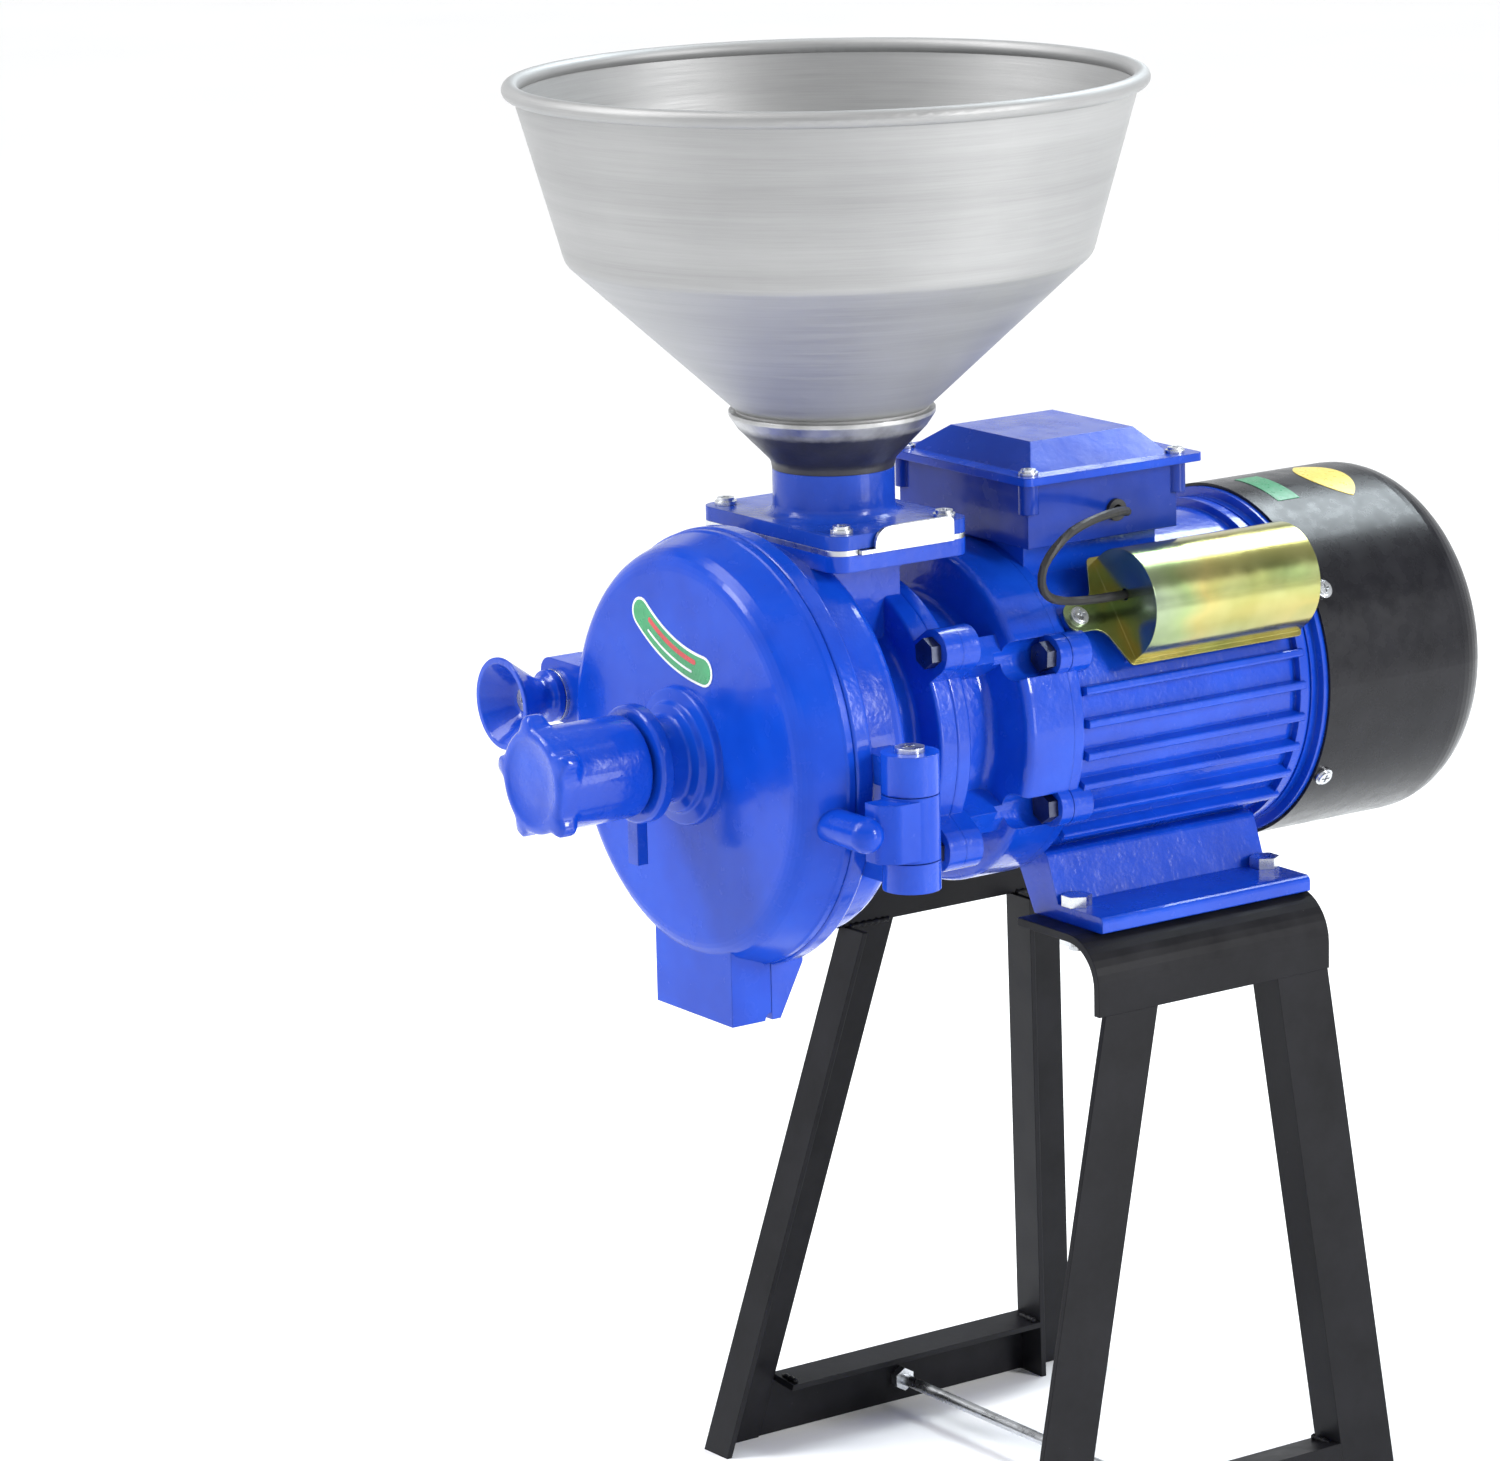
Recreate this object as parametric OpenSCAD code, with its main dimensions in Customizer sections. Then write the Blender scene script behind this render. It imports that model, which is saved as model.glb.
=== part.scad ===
// Direct-drive disc mill: feed hopper, grinding head with hinged door,
// single-phase motor and welded angle stand.
// Each piece is drawn about the drive shaft, which lies along Y at x = 0, z = 0,
// with the joint between drum and door at y = 0. on_floor() then lifts the
// machine to its height and centres it over the floor.

/* [Overall] */
// Height of the drive shaft above the floor
shaft_height = 408; // [340:1:500]
// Radius of the grinding drum at its rim
drum_r = 106; // [100:1:128]
// Length of the ribbed motor frame
frame_len = 148; // [125:1:190]

/* [Grinding head] */
// Depth of the grinding chamber in the drum
chamber_depth = 20; // [18:1:26]
// Depth of the drum behind the door
drum_len = 40; // [36:1:46]
// Length of the drum casting up to the motor
body_len = 80; // [76:1:96]
// Depth of the door casting
door_depth = 26; // [24:1:32]
// Wall of the door's face
door_wall = 6; // [5:0.5:7]
// Gap between the closed door and the drum
door_gap = 0.4; // [0.3:0.1:1]
// Width of the outlet chute
chute_w = 64; // [40:1:80]
// Wall of the outlet chute
chute_wall = 5; // [3:0.5:8]

/* [Hinge and latch] */
// Radius of the hinge barrel
barrel_knuckle_r = 13.8; // [12:0.2:15]
// Radius of the hinge pin
hinge_pin_r = 5; // [3:0.5:7]
// Radius of the latch stud
latch_stud_r = 6; // [4:0.5:7]
// Radius of the bell-shaped latch knob
latch_knob_r = 23; // [18:1:28]

/* [Grinding discs] */
// Outer radius of the moving disc
disc_r = 70; // [60:1:74]
// Thickness of each disc
disc_t = 8; // [6:0.5:9]
// Gap between the discs when closed
disc_gap = 0.8; // [0.4:0.1:1.5]
// Number of grinding grooves in each disc
groove_count = 24; // [12:1:36]
// Radius of the feed auger
auger_r = 31; // [28:0.5:34]

/* [Adjuster] */
// Radius of the adjusting screw
adjust_r = 10; // [8:0.5:12]
// Radius of the handwheel's grip
handwheel_r = 25; // [20:1:30]
// Length of the handwheel
handwheel_len = 54; // [40:1:70]

/* [Feed] */
// Distance of the hopper's axis behind the door joint
hopper_y = 65; // [62:1:67]
// Outer radius of the hopper's rolled rim
hopper_r = 153; // [120:1:190]
// Height of the hopper above its collar
hopper_h = 160; // [115:1:195]
// Thickness of the hopper's sheet
hopper_wall = 1.5; // [1:0.1:3]
// Outer radius of the feed neck
neck_r = 29.4; // [27:0.2:34]
// Width of the slide gate
gate_w = 54; // [50:1:58]
// Thickness of the slide gate
gate_t = 2; // [1.5:0.1:2.4]

/* [Motor] */
// Radius of the motor frame between its ribs
frame_r = 80; // [78:0.5:83]
// Height of the cooling ribs
rib_h = 6; // [3:0.5:7]
// Outer radius of the fan cowl
cowl_r = 90; // [88:0.5:96]
// Length of the fan cowl
cowl_len = 111; // [90:1:140]
// Radius of the shaft at the front bearing
shaft_r = 12.5; // [11:0.1:13]
// Foot height below the shaft
foot_drop = 98; // [94:1:112]
// Spacing of the foot holes across the shaft
foot_pitch_x = 140; // [136:1:150]
// Spacing of the foot holes along the shaft
foot_pitch_y = 118; // [90:1:124]
// Radius of the foot holes
foot_hole_r = 4.5; // [4.2:0.1:6]

/* [Terminal box and capacitor] */
// Width of the terminal box
box_w = 104; // [90:1:120]
// Length of the terminal box
box_len = 91; // [80:1:108]
// Height of the terminal box
box_h = 32; // [28:1:44]
// Angle of the capacitor above the horizontal
cap_angle = 37; // [34:1:38]
// Radius of the capacitor cover
cap_cover_r = 27; // [24:0.5:28]
// Length of the capacitor cover
cap_len = 102; // [90:1:104]

/* [Stand] */
// Length of each top rail
rail_len = 144; // [136:1:180]
// Height of a rail's side
rail_h = 37; // [32:1:60]
// Thickness of the rails
rail_t = 4; // [3:0.5:5]
// Width of the leg angles
leg_w = 32; // [25:1:40]
// Depth of the leg angles' inner flange
leg_flange = 20; // [15:1:30]
// Thickness of the leg angles
leg_t = 3; // [2:0.5:4]
// How far the front legs reach forward at the floor
front_spread = 74; // [30:1:90]
// How far the rear legs reach back at the floor
rear_spread = 24; // [15:1:70]
// How far the legs spread sideways at the floor
side_spread = 26; // [15:1:40]

/* [Hidden] */
$fn = 64;

run_fit = 0.05;                 // radial clearance of turning and sliding fits
tiny = 0.01;
past = 1;                       // how far cuts run past a face

// Drum and door
rim_t = 10;
wall_step = 10;
shell_r = drum_r - wall_step;
chamber_r = shell_r - 8;
body_neck_r = 58;
body_flange_r = 76;
body_flange_t = 10;
feed_bore_r = auger_r + 2;
door_r = drum_r - 1;
door_face_r = drum_r - 9;
boss_end = door_depth + 23;
seal_r = (chamber_r + door_r) / 2;
seal_w = 5;
seal_t = 2;
chute_front = door_depth - 3;
chute_end = drum_r + 22;
chute_back = 18.5;
chute_back_low = 5;

// Hinge and latch
hinge_x = drum_r + 16;
hinge_y = 18.4;
knuckle_top = 17;
knuckle_high = -2;
knuckle_low = -34;
knuckle_bottom = -48;
knuckle_gap = 0.5;
latch_x = -(drum_r + 18);
latch_z = 7;
lug_r = 13;
lug_up = 18;
lug_t = 17;
washer_t = 1.8;
latch_washer_y = -lug_t - washer_t - door_gap;
knob_len = 30;
stud_tip = 13;

// Discs and adjuster, from the closed moving disc forward
moving_face = -0.7;
carrier_front = moving_face + disc_t;
carrier_t = 8;
carrier_back = carrier_front + carrier_t;
fixed_face = moving_face - disc_gap;
holder_front = fixed_face - disc_t;
holder_t = 5;
holder_back = holder_front - holder_t;
fixed_disc_r = disc_r - 5;
holder_r = fixed_disc_r + 1;
hub_len = 5;
disc_hole_r = auger_r + 2;
disc_screw_orbit = disc_r - 12;
fixed_screw_orbit = fixed_disc_r - 12;
m5_r = 2.5;
m5_head_r = 4.8;
m5_play = 0.2;
tip_r = adjust_r - 4;
lock_ring_r = handwheel_r + 3.5;
lock_ring_t = 7;
lock_front = -boss_end - lock_ring_t - 0.5;
wheel_back = lock_front - 1.5;
wheel_front = wheel_back - handwheel_len;

// Feed
inlet_flange_t = 8;
inlet_z = shell_r + 1;
inlet_w = 114;
inlet_len = 80;
inlet_y = hopper_y - inlet_len / 2;
guide_t = gate_t + 0.6;
neck_flange_z = inlet_z + guide_t;
neck_flange_t = 7;
neck_bore_r = neck_r - 4.4;
neck_top = neck_flange_z + 29;
collar_r = neck_r + 20.2;
collar_z = neck_top + 28;
spigot_r = collar_r - 3;
spigot_depth = 4;
gate_in = -34;
gate_out = inlet_w / 2 + 3;
gate_lip_h = 12;
gate_lip_in = 8;
screw_dx = inlet_w / 2 - 9;
screw_dy = inlet_len / 2 - 10;

// Motor, from front to back
shield_y = body_len;
frame_y = shield_y + 64;
frame_end = frame_y + frame_len;
cowl_y = frame_end + 7;
cowl_end = cowl_y + cowl_len;
core_r = frame_r - 8;
core_len = frame_len - 52;
core_y = frame_y + 24;
air_gap_r = 42;
ear_r = 86;
ear_angle = 34;
ear_pad_r = 11;
shield_flange_r = 76;
shield_waist_r = 60;
shield_bell_r = frame_r + 4;
bell_ear_r = frame_r + 2;
bell_ear_angle = 27;
bell_ear_t = 7;
ear_relief = 0.4;
bearing_r = 26;
bearing_w = 15;
front_bearing_y = shield_y + 38;
rear_bore_r = 10;
rear_bearing_r = 23.5;
rear_bearing_w = 14;
rear_bearing_y = frame_end - 6;
cowl_wall = 1.6;
spigot_in_cowl = cowl_r - cowl_wall;
cowl_screw_angle = 31.5;
cowl_screw_y = cowl_y + 6;
fan_y = cowl_y + 30;
shaft_end = fan_y + 26;
rib_angles = [-42, -31, -20, -9, 2, 13];
rib_w = 4;

// Feet
foot_t = 8;
foot_in = 44;
foot_out = foot_pitch_x / 2 + 28;
foot_y = frame_y + 5;
foot_len = foot_pitch_y + 12;
foot_hole_y = foot_y + 6;
foot_hole_x = foot_pitch_x / 2;

// Terminal box
pad_z = frame_r + 5;
box_y = frame_y - 2;
box_wall = 3;
box_ear_r = 5;
lid_z = pad_z + box_h;
lid_over = 7;
lid_rim_t = 4;
lid_rise = 12;
lead_hole_y = box_y + 53;
lead_hole_z = pad_z + 13;
lead_r = 2.2;
grommet_r = 5.4;

// Capacitor
cap_base = frame_r + 6.5;
cap_mid = cap_base + 8.3;
cap_wall = 1.2;
cap_y = frame_y + 36;
cap_tab = 28;
cap_screw_front = cap_y - 22;
cap_screw_rear = cap_y + cap_len + 6;
can_r = 15.6;

// Stand
rail_x = foot_out + 12;
rail_in = foot_hole_x - 24;
rail_bend = 24;
rail_y = foot_y - 12;
rail_z = -foot_drop;
rail_foot = rail_z - rail_h;
floor_z = -shaft_height;
leg_drop = rail_foot - floor_z;
leg_tilt = atan(side_spread / leg_drop);
leg_run = leg_drop / cos(leg_tilt);
bar_h = 33;
bar_lift = 1;
tie_y = rail_y + rail_len / 2 - 20;
tie_z = floor_z + 14;
tie_r = 3;
tie_nut_r = 6.3;
tie_nut_h = 5;
tie_face = rail_x + (rail_foot - tie_z) * tan(leg_tilt);
nut_r = 8.6;
nut_h = 7;
m8_r = 4;
m8_head_r = 7.5;
m8_head_h = 5.5;

mid_y = (wheel_front + cowl_end) / 2;

blue = "#1f43c4";
iron = "#6d7076";
steel = "#b9bec4";
zinc = "#d6d9dc";
black = "#17181b";
stand_black = "#1b1c20";

// ---------------------------------------------------------------- helpers

function unit(v) = v / norm(v);

// Points of the round at corner b, between a and c
function corner(a, b, c, r, n) =
    let (u = unit(a - b),
         v = unit(c - b),
         half = acos(u * v) / 2,
         mid = b + unit(u + v) * r / sin(half),
         p = b + u * r / tan(half) - mid,
         q = b + v * r / tan(half) - mid,
         start = atan2(p.y, p.x),
         sweep = (atan2(q.y, q.x) - start + 540) % 360 - 180)
    [for (i = [0:n]) mid + r * [cos(start + sweep * i / n), sin(start + sweep * i / n)]];

// Outline with a round at every point that has a third number, its radius
function rounded(pts, n = 6) =
    let (k = len(pts))
    [for (i = [0:k - 1])
        let (a = pts[(i + k - 1) % k], b = pts[i], c = pts[(i + 1) % k])
        each (len(b) == 2 ? [b]
            : corner([a.x, a.y], [b.x, b.y], [c.x, c.y], b[2], n))];

module on_floor() {
    translate([0, -mid_y, shaft_height]) children();
}

// Turned about the shaft: points are [radius, y]
module turned(pts) {
    rotate([-90, 0, 0]) rotate_extrude($fn = 96) polygon(pts);
}

module rod_y(r, y0, y1) {
    translate([0, y0, 0]) rotate([-90, 0, 0]) cylinder(r = r, h = y1 - y0);
}

module rod_x(r, x0, x1) {
    translate([x0, 0, 0]) rotate([0, 90, 0]) cylinder(r = r, h = x1 - x0);
}

module rod_z(r, z0, z1) {
    translate([0, 0, z0]) cylinder(r = r, h = z1 - z0);
}

module ring_y(r_in, r_out, y0, y1) {
    turned([[r_in, y0], [r_out, y0], [r_out, y1], [r_in, y1]]);
}

// Box from its low corner to its high corner
module block(low, high) {
    translate(low) cube(high - low);
}

// Turns +X to the given angle above the horizontal, about the shaft
module around(angle) {
    rotate([0, -angle, 0]) children();
}

module mirror_x() {
    children();
    mirror([1, 0, 0]) children();
}

// Outline in X and Z, extruded along Y
module slab_y(y0, y1) {
    translate([0, y1, 0]) rotate([90, 0, 0]) linear_extrude(y1 - y0) children();
}

// Outline in Y and Z, extruded along X
module slab_x(x0, x1) {
    translate([x0, 0, 0]) rotate([90, 0, 90]) linear_extrude(x1 - x0) children();
}

// Four ears or bolts at equal angles above and below the horizontal
module at_four(angle, r) {
    for (a = [angle, 180 - angle, 180 + angle, -angle])
        around(a) translate([r, 0, 0]) children();
}

module ear(r_pad, inward, y0, y1) {
    rod_y(r_pad, y0, y1);
    block([-inward, y0, -r_pad], [0, y1, r_pad]);
}

// Pan-head screw along -Z with its head's underside at z = 0
module pan_screw(r, head_r, head_h, length) {
    difference() {
        union() {
            rod_z(head_r, 0, head_h * 0.55);
            rod_z(head_r * 0.78, 0, head_h);
            rod_z(r, -length, tiny);
        }
        for (a = [0, 90])
            rotate([0, 0, a])
                block([-head_r * 0.5, -0.5, head_h * 0.45], [head_r * 0.5, 0.5, head_h + past]);
    }
}

// Hex bolt along +Y with its head in front of y = 0
module hex_bolt_y(r, head_r, head_h, length) {
    translate([0, -head_h, 0]) rotate([-90, 0, 0]) cylinder(r = head_r, h = head_h, $fn = 6);
    rod_y(r, -tiny, length);
}

// ---------------------------------------------------------------- feed

module at_hopper() {
    translate([0, hopper_y, 0]) children();
}

module hopper() {
    knee_r = hopper_r - 27.5;
    knee_z = collar_z + hopper_h * 0.462;
    lip_r = hopper_r - 4.4;
    lip_z = collar_z + hopper_h - 4;
    w = hopper_wall;
    color("#c3c5c7") on_floor() at_hopper() {
        rotate_extrude($fn = 128) polygon(rounded([
            [spigot_r, collar_z - spigot_depth], [spigot_r, collar_z + 1], [knee_r, knee_z, 9],
            [lip_r, lip_z], [lip_r - w, lip_z], [knee_r - w, knee_z, 9],
            [spigot_r - w, collar_z + 1], [spigot_r - w, collar_z - spigot_depth]], 5));
        translate([0, 0, lip_z]) rotate_extrude($fn = 128) translate([lip_r + 0.4, 0]) circle(r = 4);
    }
}

module hopper_adaptor() {
    color("#55585e") on_floor() at_hopper() rotate_extrude() polygon(rounded([
        [neck_bore_r - 2.4, neck_top - 8], [neck_bore_r, neck_top - 8],
        [neck_bore_r, neck_top], [neck_r, neck_top], [neck_r + 0.6, neck_top + 4, 6],
        [collar_r - 4, collar_z - 8, 1.5], [collar_r, collar_z - 2, 1], [collar_r, collar_z],
        [spigot_r, collar_z], [spigot_r, collar_z - spigot_depth],
        [spigot_r - 4, collar_z - spigot_depth], [neck_bore_r - 2.4, neck_top + 4, 8]], 6));
}

module inlet_outline(r = 9) {
    translate([0, hopper_y]) difference() {
        square([inlet_w, inlet_len], center = true);
        for (sx = [-1, 1], sy = [-1, 1])
            translate([sx * (inlet_w / 2 - r / 2 + tiny), sy * (inlet_len / 2 - r / 2 + tiny)])
                difference() {
                    square(r, center = true);
                    translate([-sx * r / 2, -sy * r / 2]) circle(r = r);
                }
    }
}

module at_neck_screws() {
    for (sx = [-1, 1], sy = [-1, 1])
        translate([sx * screw_dx, hopper_y + sy * screw_dy, 0]) children();
}

module feed_neck() {
    color(blue) on_floor() difference() {
        union() {
            translate([0, 0, neck_flange_z]) linear_extrude(neck_flange_t) inlet_outline();
            at_hopper() rotate_extrude() polygon(rounded([
                [0, neck_flange_z], [neck_r + 6, neck_flange_z],
                [neck_r + 6, neck_flange_z + neck_flange_t], [neck_r, neck_flange_z + neck_flange_t, 5],
                [neck_r, neck_top], [0, neck_top]]));
        }
        at_hopper() rod_z(neck_bore_r, neck_flange_z - past, neck_top + past);
        at_neck_screws() rod_z(3.2, neck_flange_z - past, neck_flange_z + neck_flange_t + past);
    }
}

module gate_guide() {
    slot = gate_w / 2 + 0.3;
    color(steel) on_floor() difference() {
        translate([0, 0, inlet_z]) linear_extrude(guide_t) inlet_outline();
        block([gate_in - 0.4, hopper_y - slot, inlet_z - past],
            [inlet_w, hopper_y + slot, inlet_z + guide_t + past]);
        at_neck_screws() rod_z(3.2, inlet_z - past, inlet_z + guide_t + past);
    }
}

module slide_gate() {
    low = inlet_z + (guide_t - gate_t) / 2;
    lip_r = 9;
    color(zinc) on_floor() {
        block([gate_in, hopper_y - gate_w / 2, low], [gate_out, hopper_y + gate_w / 2, low + gate_t]);
        slab_x(gate_out - gate_t, gate_out) polygon(rounded([
            [hopper_y - gate_w / 2 + gate_lip_in, low], [hopper_y + gate_w / 2, low],
            [hopper_y + gate_w / 2, low + gate_lip_h, 3],
            [hopper_y - gate_w / 2 + gate_lip_in, low + gate_lip_h, lip_r]]));
    }
}

module neck_screws() {
    color(zinc) on_floor() at_neck_screws()
        translate([0, 0, neck_flange_z + neck_flange_t]) pan_screw(3, 5.4, 3.6, 15);
}

// ---------------------------------------------------------------- drum and door

// Half of the outlet chute's outline, behind the door joint
module chute_back_outline(t) {
    polygon([[-tiny, -shell_r + 12], [chute_back - t, -shell_r + 12],
        [chute_back - t, -drum_r + 4 - t / 4], [chute_back_low - t, -chute_end - (t > 0 ? past : 0)],
        [-tiny, -chute_end - (t > 0 ? past : 0)]]);
}

module knuckle(z0, z1, wall_x) {
    translate([hinge_x, hinge_y, 0]) rod_z(barrel_knuckle_r, z0, z1);
    block([wall_x, hinge_y - 9, z0 + 2], [hinge_x, hinge_y + 9, z1 - 3]);
}

module latch_lug(y0, y1) {
    inner = -shell_r + 14;
    slab_y(y0, y1) difference() {
        polygon(rounded([[inner, latch_z - lug_r], [latch_x - lug_r, latch_z - lug_r, 10],
            [latch_x - lug_r, latch_z + lug_up, 8], [inner, latch_z + lug_up]]));
    }
}

module mill_body() {
    throat_w = 64;
    color(blue) on_floor() difference() {
        union() {
            turned(rounded([[0, 0], [drum_r, 0, 1.5], [drum_r, rim_t, 2.5], [shell_r, rim_t + 1.5, 2],
                [shell_r, drum_len, 10], [body_neck_r, drum_len, 4],
                [body_neck_r, body_len - body_flange_t, 3], [body_flange_r, body_len - body_flange_t, 2],
                [body_flange_r, body_len], [0, body_len]]));
            at_four(ear_angle, ear_r) ear(ear_pad_r, ear_r - 60, body_len - body_flange_t, body_len);
            slab_x(-throat_w / 2, throat_w / 2) polygon([[36, 30], [body_len, 30], [body_len, inlet_z - 15],
                [body_len + 14, inlet_z - 8], [body_len + 14, inlet_z - 4], [36, inlet_z - 4]]);
            translate([0, 0, inlet_z - inlet_flange_t]) linear_extrude(inlet_flange_t) inlet_outline();
            knuckle(knuckle_high, knuckle_top, shell_r - 20);
            knuckle(knuckle_bottom, knuckle_low, shell_r - 24);
            latch_lug(0, 15);
            slab_x(-chute_w / 2, chute_w / 2) chute_back_outline(0);
        }
        turned(rounded([[0, -past], [chamber_r, -past], [chamber_r, chamber_depth, 5],
            [0, chamber_depth]]));
        rod_y(feed_bore_r, chamber_depth - past, body_len + past);
        slab_x(-25, 25) polygon([[40, inlet_z + past], [88, inlet_z + past], [76, inlet_z - 10],
            [76, 0], [42, 0], [42, inlet_z - 10]]);
        slab_x(-chute_w / 2 + chute_wall, chute_w / 2 - chute_wall) translate([-past, 0])
            chute_back_outline(4);
        slab_x(-chute_w / 2 + chute_wall, chute_w / 2 - chute_wall)
            polygon([[-past, -60], [chute_back - 4, -60], [chute_back - 4, -drum_r + 4],
                [-past, -drum_r + 4]]);
        at_four(ear_angle, ear_r) rod_y(m8_r + 0.2, body_len - body_flange_t - past, body_len + past);
        at_neck_screws() rod_z(3, inlet_z - 7, inlet_z + past);
        translate([hinge_x, hinge_y, 0]) rod_z(hinge_pin_r, knuckle_bottom - past, knuckle_top + past);
        translate([hinge_x, hinge_y, 0])
            rod_z(barrel_knuckle_r + 1, knuckle_low, knuckle_high);
        translate([latch_x, 0, latch_z]) rod_y(latch_stud_r + 1.5, -past, 16);
    }
}

module door() {
    inner = -door_depth + door_wall;
    guide_r = holder_r + run_fit;
    arm_z = (knuckle_low + knuckle_high) / 2;
    arm_r = 8.5;
    arm_y = -door_gap - arm_r - 0.6;
    color(blue) on_floor() difference() {
        union() {
            turned(rounded([[0, -door_depth], [door_face_r, -door_depth, 12], [door_r - 1, -5, 2],
                [door_r, -4, 0.8], [door_r, -door_gap], [0, -door_gap]]));
            turned(rounded([[0, -boss_end], [adjust_r + 11, -boss_end, 1.5],
                [adjust_r + 11, -door_depth - 10, 2], [26, -door_depth - 8, 1],
                [27, -door_depth - 5, 1.5], [33, -door_depth - 3.5, 1.5], [34, -door_depth + past],
                [0, -door_depth + past]], 4));
            translate([hinge_x, hinge_y, 0])
                rod_z(barrel_knuckle_r, knuckle_low + knuckle_gap, knuckle_high - knuckle_gap);
            translate([0, 0, knuckle_low + 2]) linear_extrude(knuckle_high - knuckle_low - 4)
                polygon(rounded([[hinge_x - 3, arm_y + 4], [hinge_x + 6, arm_y + 4, 5],
                    [hinge_x + barrel_knuckle_r - 0.6, 2, 6], [hinge_x + barrel_knuckle_r - 0.6, hinge_y],
                    [hinge_x - 3, hinge_y]]));
            translate([0, arm_y, arm_z]) rod_x(arm_r, door_face_r - 14, hinge_x + 3);
            translate([hinge_x + 3, arm_y, arm_z]) sphere(r = arm_r);
            latch_lug(-lug_t - door_gap, -door_gap);
            block([-chute_w / 2, -chute_front, -chute_end], [chute_w / 2, -door_gap, -shell_r + 14]);
        }
        turned(rounded([[guide_r + 5, past], [chamber_r, past], [chamber_r, inner, 4],
            [guide_r + 5, inner, 1]]));
        rod_y(guide_r, inner, past);
        ring_y(0, guide_r + 5 + tiny, holder_front + 4, past);
        rod_y(18, -door_depth + 1.5, inner + past);
        rod_y(adjust_r + run_fit, -boss_end - past, inner);
        ring_y(seal_r - seal_w / 2, seal_r + seal_w / 2, -door_gap - seal_t, past);
        block([-chute_w / 2 + chute_wall, -chute_front + 4, -chute_end - past],
            [chute_w / 2 - chute_wall, past, -chamber_r + 8]);
        translate([0, -door_gap, -chute_end]) mirror_x() translate([chute_w / 2, 0, 0])
            rod_x(3.5, -chute_wall - past, past);
        translate([hinge_x, hinge_y, 0]) rod_z(hinge_pin_r + run_fit, knuckle_bottom, knuckle_top);
        translate([latch_x, 0, latch_z]) rod_y(latch_stud_r + run_fit, -lug_t - 3, past);
    }
}

module door_seal() {
    color("#3a3a3c") on_floor() difference() {
        ring_y(seal_r - seal_w / 2, seal_r + seal_w / 2, -door_gap - seal_t, -door_gap);
        block([-chute_w / 2 + chute_wall, -8, -chute_end], [chute_w / 2 - chute_wall, past, -60]);
    }
}

module hinge_pin() {
    color(zinc) on_floor() translate([hinge_x, hinge_y, 0]) difference() {
        union() {
            rod_z(hinge_pin_r, knuckle_bottom, knuckle_top);
            rod_z(hinge_pin_r + 2, knuckle_top, knuckle_top + 2.4);
        }
        for (a = [0, 90])
            rotate([0, 0, a])
                block([-3.5, -0.6, knuckle_top + 1.2], [3.5, 0.6, knuckle_top + 3]);
    }
}

// Curved band with round ends, its low side outwards
module banana(bend_r, half_sweep, width) {
    steps = 12;
    half = width / 2;
    arc = [for (i = [0:steps]) half_sweep * (2 * i / steps - 1)];
    outer = [for (a = arc) (bend_r + half) * [sin(a), -cos(a)]];
    inner = [for (i = [steps:-1:0]) (bend_r - half) * [sin(arc[i]), -cos(arc[i])]];
    right_end = [for (i = [1:steps - 1]) let (a = half_sweep - 90 + 180 * i / steps)
        bend_r * [sin(half_sweep), -cos(half_sweep)] + half * [cos(a), sin(a)]];
    left_end = [for (i = [1:steps - 1]) let (a = 90 - half_sweep + 180 * i / steps)
        bend_r * [-sin(half_sweep), -cos(half_sweep)] + half * [cos(a), sin(a)]];
    translate([0, bend_r]) polygon(concat(outer, right_end, inner, left_end));
}

module door_label() {
    color("#1f8f4d") on_floor() translate([-8, 0, 50]) rotate([0, 21.6, 0])
        slab_y(-door_depth - 0.3, -door_depth) banana(90, 18, 15);
}

// ---------------------------------------------------------------- latch

module at_latch() {
    translate([latch_x, 0, latch_z]) children();
}

module latch_washer() {
    color(zinc) on_floor() at_latch()
        ring_y(latch_stud_r + run_fit, 13, latch_washer_y, latch_washer_y + washer_t);
}

module latch_knob() {
    back = latch_washer_y;
    front = back - knob_len;
    color(blue) on_floor() at_latch() turned(rounded([
        [latch_stud_r, back], [13, back, 1], [13, back - 4, 1], [10, back - 6, 2],
        [10, back - 10, 8], [latch_knob_r, front + 1.5, 1], [latch_knob_r, front, 0.6],
        [latch_knob_r - 3, front, 1], [latch_stud_r + 3, front + 15, 6], [latch_stud_r, front + 15]]));
}

module latch_stud() {
    color(steel) on_floor() at_latch() difference() {
        turned(rounded([[0, latch_washer_y - knob_len + 13], [latch_stud_r, latch_washer_y - knob_len + 13],
            [latch_stud_r, stud_tip, 2], [0, stud_tip]]));
        rod_y(2.2, latch_washer_y - knob_len + 12, latch_washer_y - knob_len + 17);
    }
}

// ---------------------------------------------------------------- adjuster and discs

module handwheel() {
    lobe_r = 5.2;
    lobe_orbit = handwheel_r + 1.4;
    color(blue) on_floor() difference() {
        union() {
            turned(rounded([[0, wheel_front], [handwheel_r - 1, wheel_front, 2],
                [handwheel_r, wheel_back, 3], [0, wheel_back]]));
            for (i = [0:4])
                around(i * 72 + 100) translate([lobe_orbit, 0, 0])
                    rod_y(lobe_r, wheel_front + 1.5, wheel_front + 12);
        }
        rod_y(adjust_r, wheel_front + 8, wheel_back + past);
        ring_y(handwheel_r - 5, handwheel_r - 4, wheel_front - past, wheel_front + 0.8);
    }
}

module adjusting_screw() {
    color(steel) on_floor() turned(rounded([[0, wheel_front + 8], [adjust_r, wheel_front + 8, 1],
        [adjust_r, holder_back - hub_len - 0.1], [tip_r, holder_back - hub_len - 0.1],
        [tip_r, holder_front - 1], [0, holder_front - 1]]));
}

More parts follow.
